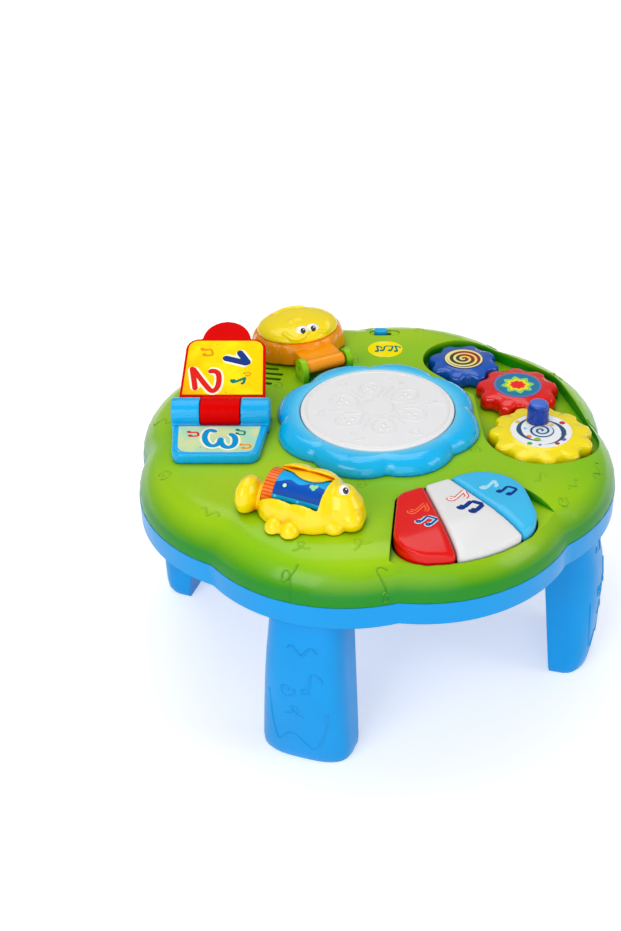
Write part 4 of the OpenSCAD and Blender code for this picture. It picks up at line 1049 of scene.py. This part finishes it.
BOOK_TURN = -27.7
BOOK_LEAN = 24
BOOK_SIDE = 29
BOOK_FRONT = -48
SPINE_RIB_R = 9.6
pin_low, pin_high = node_box("book_hinge_pin")
book_mid = (pin_low + pin_high) / 2
book_frame = Matrix.Translation(book_mid) @ Matrix.Rotation(radians(BOOK_TURN), 4, "Z")
page_frame = book_frame @ Matrix.Rotation(radians(BOOK_LEAN), 4, "X")
book_blue = plastic("book_blue", hollow_shade(srgb(0, 176, 242), srgb(0, 96, 160)),
                    gloss=0.26, coat=0.3, shine=0.2)
book_base = joined_copy("book_base")
base_skin = BVHTree.FromBMesh(book_base)
for inset, half in ((1.2, 1.1), (3.3, 0.8)):
    side, front = BOOK_SIDE - inset, BOOK_FRONT + inset
    lip = [(side + 2.6, -11.5), (side + 0.4, -36), (side - 0.2, front + 5), (side - 3, front + 1.2),
           (side - 7, front), (0, front)]
    lip += [(-x, y) for x, y in reversed(lip[:-1])]
    start = [book_frame @ Vector((x, y, 40)) for x, y in lip]
    raised_line(book_base, start, half, surface=base_skin)
base_piece = settle("book_base_moulding", book_base, book_blue, "table",
                    ["book_base"])
soften(base_piece, 0.6, 6)

page_red = plastic("page_red", srgb(222, 0, 0), gloss=0.4, coat=0.0, shine=0.03)
page = joined_copy("book_page")
for x in (-8.5, -3, 3, 8.5):
    angles = [radians(a) for a in range(10, 191, 10)]
    rib = [(x, SPINE_RIB_R * cos(a), SPINE_RIB_R * sin(a)) for a in angles]
    raised_line(page, [page_frame @ Vector(p) for p in rib], 0.65)
page_piece = settle("book_page_moulding", page, page_red, "book_page_body",
                    ["book_page"])
soften(page_piece, 0.6, 8)


def card_paper(name, ground, tint, fade=None):
    """Glossy card with a soft printed cloud, and a tone that fades from a line."""
    def paint(tree):
        place = object_place(tree)
        cloud = add_node(tree, "TexNoise", {"Vector": place, "Scale": 60.0, "Detail": 2.0})
        cloud = cloud.outputs["Fac"]
        colour = over(tree, ramp(tree, cloud, 0.46, 0.62, 0.0, 0.8), ground, tint)
        if fade:
            warm, heading, start, reach = fade
            aim = (cos(radians(heading)), sin(radians(heading)), 0)
            along = add_node(tree, "VectorMath", {0: place, 1: aim}, operation="DOT_PRODUCT")
            wide = maths(tree, "MULTIPLY_ADD", cloud, 0.02, along.outputs["Value"])
            share = ramp(tree, wide, (start + reach) * MM, start * MM)
            colour = over(tree, share, colour, warm)
        return colour
    return plastic(name, paint, gloss=0.36, coat=0.0, mottle=0.04, grain=2200.0, depth=0.012,
                   shine=0.03)


PAGE_FADE = (srgb(255, 168, 0), -10, -118, 26)
finish_node("book_page_card", card_paper(
    "card_yellow", srgb(255, 218, 0), srgb(255, 240, 20), PAGE_FADE))
finish_node("book_base_card", card_paper("card_mint", srgb(180, 224, 190), srgb(226, 230, 160)))
PAGE_TOP = 1.8 + 0.4
BASE_TOP = node_box("book_base_card")[1].z - book_mid.z
ONE = [
    [(-1.6, 44.2), (6.4, 42.0), (12.6, 40.2), (16.8, 39)],
    [(9.0, 50.2), (11.6, 46.2), (14.6, 41.8), (17.2, 38.4)],
]
TWO = [
    [(-18.6, 16.4), (-20.4, 26.3), (-22.4, 36.4)],
    [(-22.4, 35.8), (-16.7, 27.5), (-11.9, 20.6), (-7, 14.6), (-3, 19.2), (-3, 30), (-6.4, 33),
     (-11, 32.2)],
]
THREE = [
    [(-1.2, -19.6), (-7.4, -16.4), (-9.4, -26), (-5.6, -36), (-0.6, -37), (2, -32.6), (2, -26.6)],
    [(2, -26.6), (2.8, -34), (7, -39.4), (12.2, -36.6), (12, -26), (7.3, -21.4)],
]
number_white = printed_film("number_white", srgb(252, 250, 220))
card_orange = printed_film("ink_card_orange", srgb(240, 150, 20))
ink_teal = printed_film("ink_teal", srgb(0, 128, 110))
on_page = ("book_page_body", PAGE_TOP, page_frame)
on_base = ("table", BASE_TOP, book_frame)
for name, where, lines, half, ink in (
    ("number_one", on_page, ONE, 3.0, ink_navy), ("number_two", on_page, TWO, 2.45, ink_red),
    ("number_three", on_base, THREE, 2.5, ink_blue),
):
    printed(name, [(lines, half + 0.9, number_white), (lines, half, ink)], *where)


def specks(*places):
    """Short strokes for small printed dots."""
    return [[(x - 0.3, y), (x, y), (x + 0.3, y)] for x, y in places]


PAGE_MARKS = (
    (scaled(PAIR_NOTE, -13, 49.5, 3.6, -80), 0.8, card_orange),
    (scaled(SINGLE_NOTE, 10.6, 25.2, 4.6, -62), 0.95, ink_teal),
    (scaled(PAIR_NOTE, 16, 30.4, 1.9, -60), 0.5, card_orange),
    (specks((2.3, 14.6), (-6, 56)), 1.0, ink_teal), (specks((6.5, 17.8)), 0.8, card_orange),
)
BASE_MARKS = (
    (scaled(PAIR_NOTE, -17, -21.6, 3.4, -82), 0.8, ink_red),
    (scaled(PAIR_NOTE, 14.4, -19.6, 3.2, -98), 0.7, ink_teal),
    (scaled(PAIR_NOTE, 19.2, -36.6, 3.0, -76), 0.75, card_orange),
    (specks((-10.3, -38.6)), 0.9, ink_navy), (specks((-6, -40)), 0.8, ink_orange),
)
for name, marks, where in (
    ("page_marks", PAGE_MARKS, on_page), ("base_marks", BASE_MARKS, on_base),
):
    for k, mark in enumerate(marks):
        printed("%s_%d" % (name, k + 1), [mark], *where)

# ---------------------------------------------------------------- picture roller
# A printed drum with an orange ribbed grip turns on its axle inside the yellow
# animal, whose body is one soft-edged shell with a window over the picture.

ANIMAL_TURN = -52
ROLLER_R = 14.1
PICTURE_ROWS = 2 * pi * ROLLER_R / 3
PICTURE_START = 17.0
GRIP_RIBS = 40
axle_low, axle_high = node_box("roller_axle")
axle_mid = (axle_low + axle_high) / 2
roller_frame = Matrix.Translation(axle_mid) @ Matrix.Rotation(radians(ANIMAL_TURN), 4, "Z")


def round_the_axle(tree):
    """Millimetres along the roller's axle, and the angle round it."""
    metric = add_node(tree, "VectorMath", {0: object_place(tree), "Scale": 1 / MM},
                      operation="SCALE").outputs[0]
    moved = add_node(tree, "VectorMath", {0: metric, 1: tuple(axle_mid)}, operation="SUBTRACT")
    level = add_node(tree, "VectorRotate", {
        "Vector": moved.outputs[0], "Angle": radians(-ANIMAL_TURN),
    }, rotation_type="Z_AXIS")
    x, y, z = add_node(tree, "SeparateXYZ", {0: level.outputs[0]}).outputs
    return x, maths(tree, "ARCTAN2", z, y)


def roller_picture(tree):
    """A generic pond: a pale wave over deep blue, dots, and a cyan and teal band."""
    along, turn = round_the_axle(tree)
    rows = maths(tree, "MULTIPLY_ADD", turn, ROLLER_R, 2 * pi * ROLLER_R - PICTURE_START)
    share = maths(tree, "FRACT", maths(tree, "MULTIPLY", rows, 1 / PICTURE_ROWS))
    down = maths(tree, "MULTIPLY", share, PICTURE_ROWS)

    def dot(x, y, size):
        off_x, off_y = maths(tree, "SUBTRACT", along, x), maths(tree, "SUBTRACT", down, y)
        return under(tree, far_from_axis(tree, off_x, off_y), size, 0.15)

    crests = maths(tree, "SINE", maths(tree, "MULTIPLY_ADD", along, 0.4, 0.49))
    wave = maths(tree, "MULTIPLY_ADD", crests, -1.3, down)
    ripple = maths(tree, "MULTIPLY_ADD", along, 0.09, wave)
    deep = over(tree, share, srgb(0, 92, 196), srgb(0, 66, 170))
    colour = over(tree, under(tree, ripple, 9.6, 0.15), deep, srgb(0, 172, 240))
    colour = over(tree, edge_step(tree, down, 20.2, 0.15), colour, srgb(0, 178, 232))
    colour = over(tree, edge_step(tree, down, 22.7, 0.15), colour, srgb(0, 130, 126))
    foam_green, leaf_green, spray = srgb(200, 246, 226), srgb(150, 222, 170), srgb(130, 224, 250)
    for x, y, size, rim, ink in (
        (-6.6, 13.4, 1.3, 2.0, foam_green), (10.5, 9.6, 1.6, 0, leaf_green),
        (13, 9, 1.4, 0, leaf_green), (12, 11, 1.3, 0, leaf_green), (-11, 21.2, 0.7, 0, spray),
        (4.5, 21.4, 0.7, 0, spray), (2, 27, 1.2, 1.8, foam_green), (-10, 26, 0.9, 0, spray),
    ):
        if rim:
            colour = over(tree, dot(x, y, rim), colour, srgb(0, 52, 140))
        colour = over(tree, dot(x, y, size), colour, ink)
    return colour


def grip_tones(tree):
    """Painted light and shade: bright on the grip's ribs, a deeper orange in the grooves between
    them.
    """
    wave = maths(tree, "SINE", maths(tree, "MULTIPLY", round_the_axle(tree)[1], GRIP_RIBS))
    return over(tree, edge_step(tree, wave, -0.2, 0.5), srgb(226, 74, 0), srgb(255, 128, 16))


picture = plastic("roller_picture", roller_picture, gloss=0.36, coat=0.05, shine=0.12, mottle=0.03)
grip_orange = plastic("grip_orange", grip_tones, gloss=0.34, coat=0.2)
roller_bm = joined_copy("picture_roller")
to_local = roller_frame.inverted()
for facet in roller_bm.faces:
    centre = to_local @ facet.calc_center_median()
    facet.material_index = 0 if hypot(centre.y, centre.z) < ROLLER_R + 0.05 else 1
roller_piece = settle("picture_roller_drum", roller_bm, [picture, grip_orange], "roller_body",
                      ["picture_roller"])
level_faces(roller_piece)

animal_yellow = plastic("animal_yellow", hollow_shade(srgb(255, 226, 0), srgb(255, 160, 0)),
                        gloss=0.22, coat=0.45, mottle=0.06)
animal = settle("animal_moulding", joined_copy("animal_shell"), animal_yellow, "table",
                ["animal_shell"])
soften(animal, 0.62, 12)

# The hood's rolled lip: it bends down from the back and ends close to the
# roller. LIP_ENDS gives the angle at which it ends, along the axle.
LIP_ENDS = (
    (-16, 64), (-13.4, 68), (-9, 73), (-6, 77), (-3, 85), (0, 92), (3.3, 96), (7, 97), (10, 96),
    (13, 92), (15.5, 86), (17.7, 72), (19.5, 60),
)
LIP_START = 38
LIP_RISE = 3.4
LIP_LOW, LIP_HIGH = LIP_ENDS[0][0], LIP_ENDS[-1][0]
lip = bmesh.new()
bmesh.ops.create_grid(lip, x_segments=44, y_segments=14, size=1)
for v in lip.verts:
    along_share, share = (v.co.x + 1) / 2, (v.co.y + 1) / 2
    along = LIP_LOW + along_share * (LIP_HIGH - LIP_LOW)
    k = max(i for i, (x, _) in enumerate(LIP_ENDS[:-1]) if x <= along + 1e-6)
    (x0, a0), (x1, a1) = LIP_ENDS[k], LIP_ENDS[k + 1]
    end = a0 + (a1 - a0) * (along - x0) / (x1 - x0)
    heading = radians(LIP_START + (end - LIP_START) * share)
    bulge = sin(pi * min(1, max(0, along_share))) ** 0.5
    reach = ROLLER_R + 0.7 + LIP_RISE * (1 - share) ** 1.5 * bulge
    v.co = (along, reach * cos(heading), reach * sin(heading))
bmesh.ops.recalc_face_normals(lip, faces=lip.faces)
bmesh.ops.solidify(lip, geom=lip.faces, thickness=0.5)
bmesh.ops.recalc_face_normals(lip, faces=lip.faces)
lip_yellow = plastic("lip_yellow", hollow_shade(srgb(255, 214, 0), srgb(255, 150, 0)),
                     gloss=0.26, coat=0.3, mottle=0.06)
settle("animal_hood_lip", lip, lip_yellow, "table", place=roller_frame)
eye_piece("animal_eye", "animal_eye", "table", (1.15, 1.35, 0.85), (-0.1, -0.7, 0.8))

# ---------------------------------------------------------------- switch and label
# A small sliding switch cap in its round-ended track, and an oval label with
# plain notes where a printed name might be.

slider_piece = settle("switch_slider_cap", joined_copy("switch_slider"), book_blue, "slider_body",
                      ["switch_slider"])
soften(slider_piece, 0.25, 5)
finish_node("label_disc", card_paper("label_yellow", srgb(255, 232, 0), srgb(250, 244, 90)))
label_top = node_box("label_disc")[1].z
label_place = Matrix.Translation((*node_middle("label_disc"), 0))
label_place = label_place @ Matrix.Rotation(radians(AZIMUTH), 4, "Z")
for k, (shape, x, turn) in enumerate((
    (SINGLE_NOTE, -6, 10), (PAIR_NOTE, 1, -8), (SINGLE_NOTE, 8, 14),
)):
    mark = (scaled(shape, x, 0.5, 4.2, turn), 0.7, ink_teal)
    printed("label_note_%d" % (k + 1), [mark], "table", label_top, label_place)
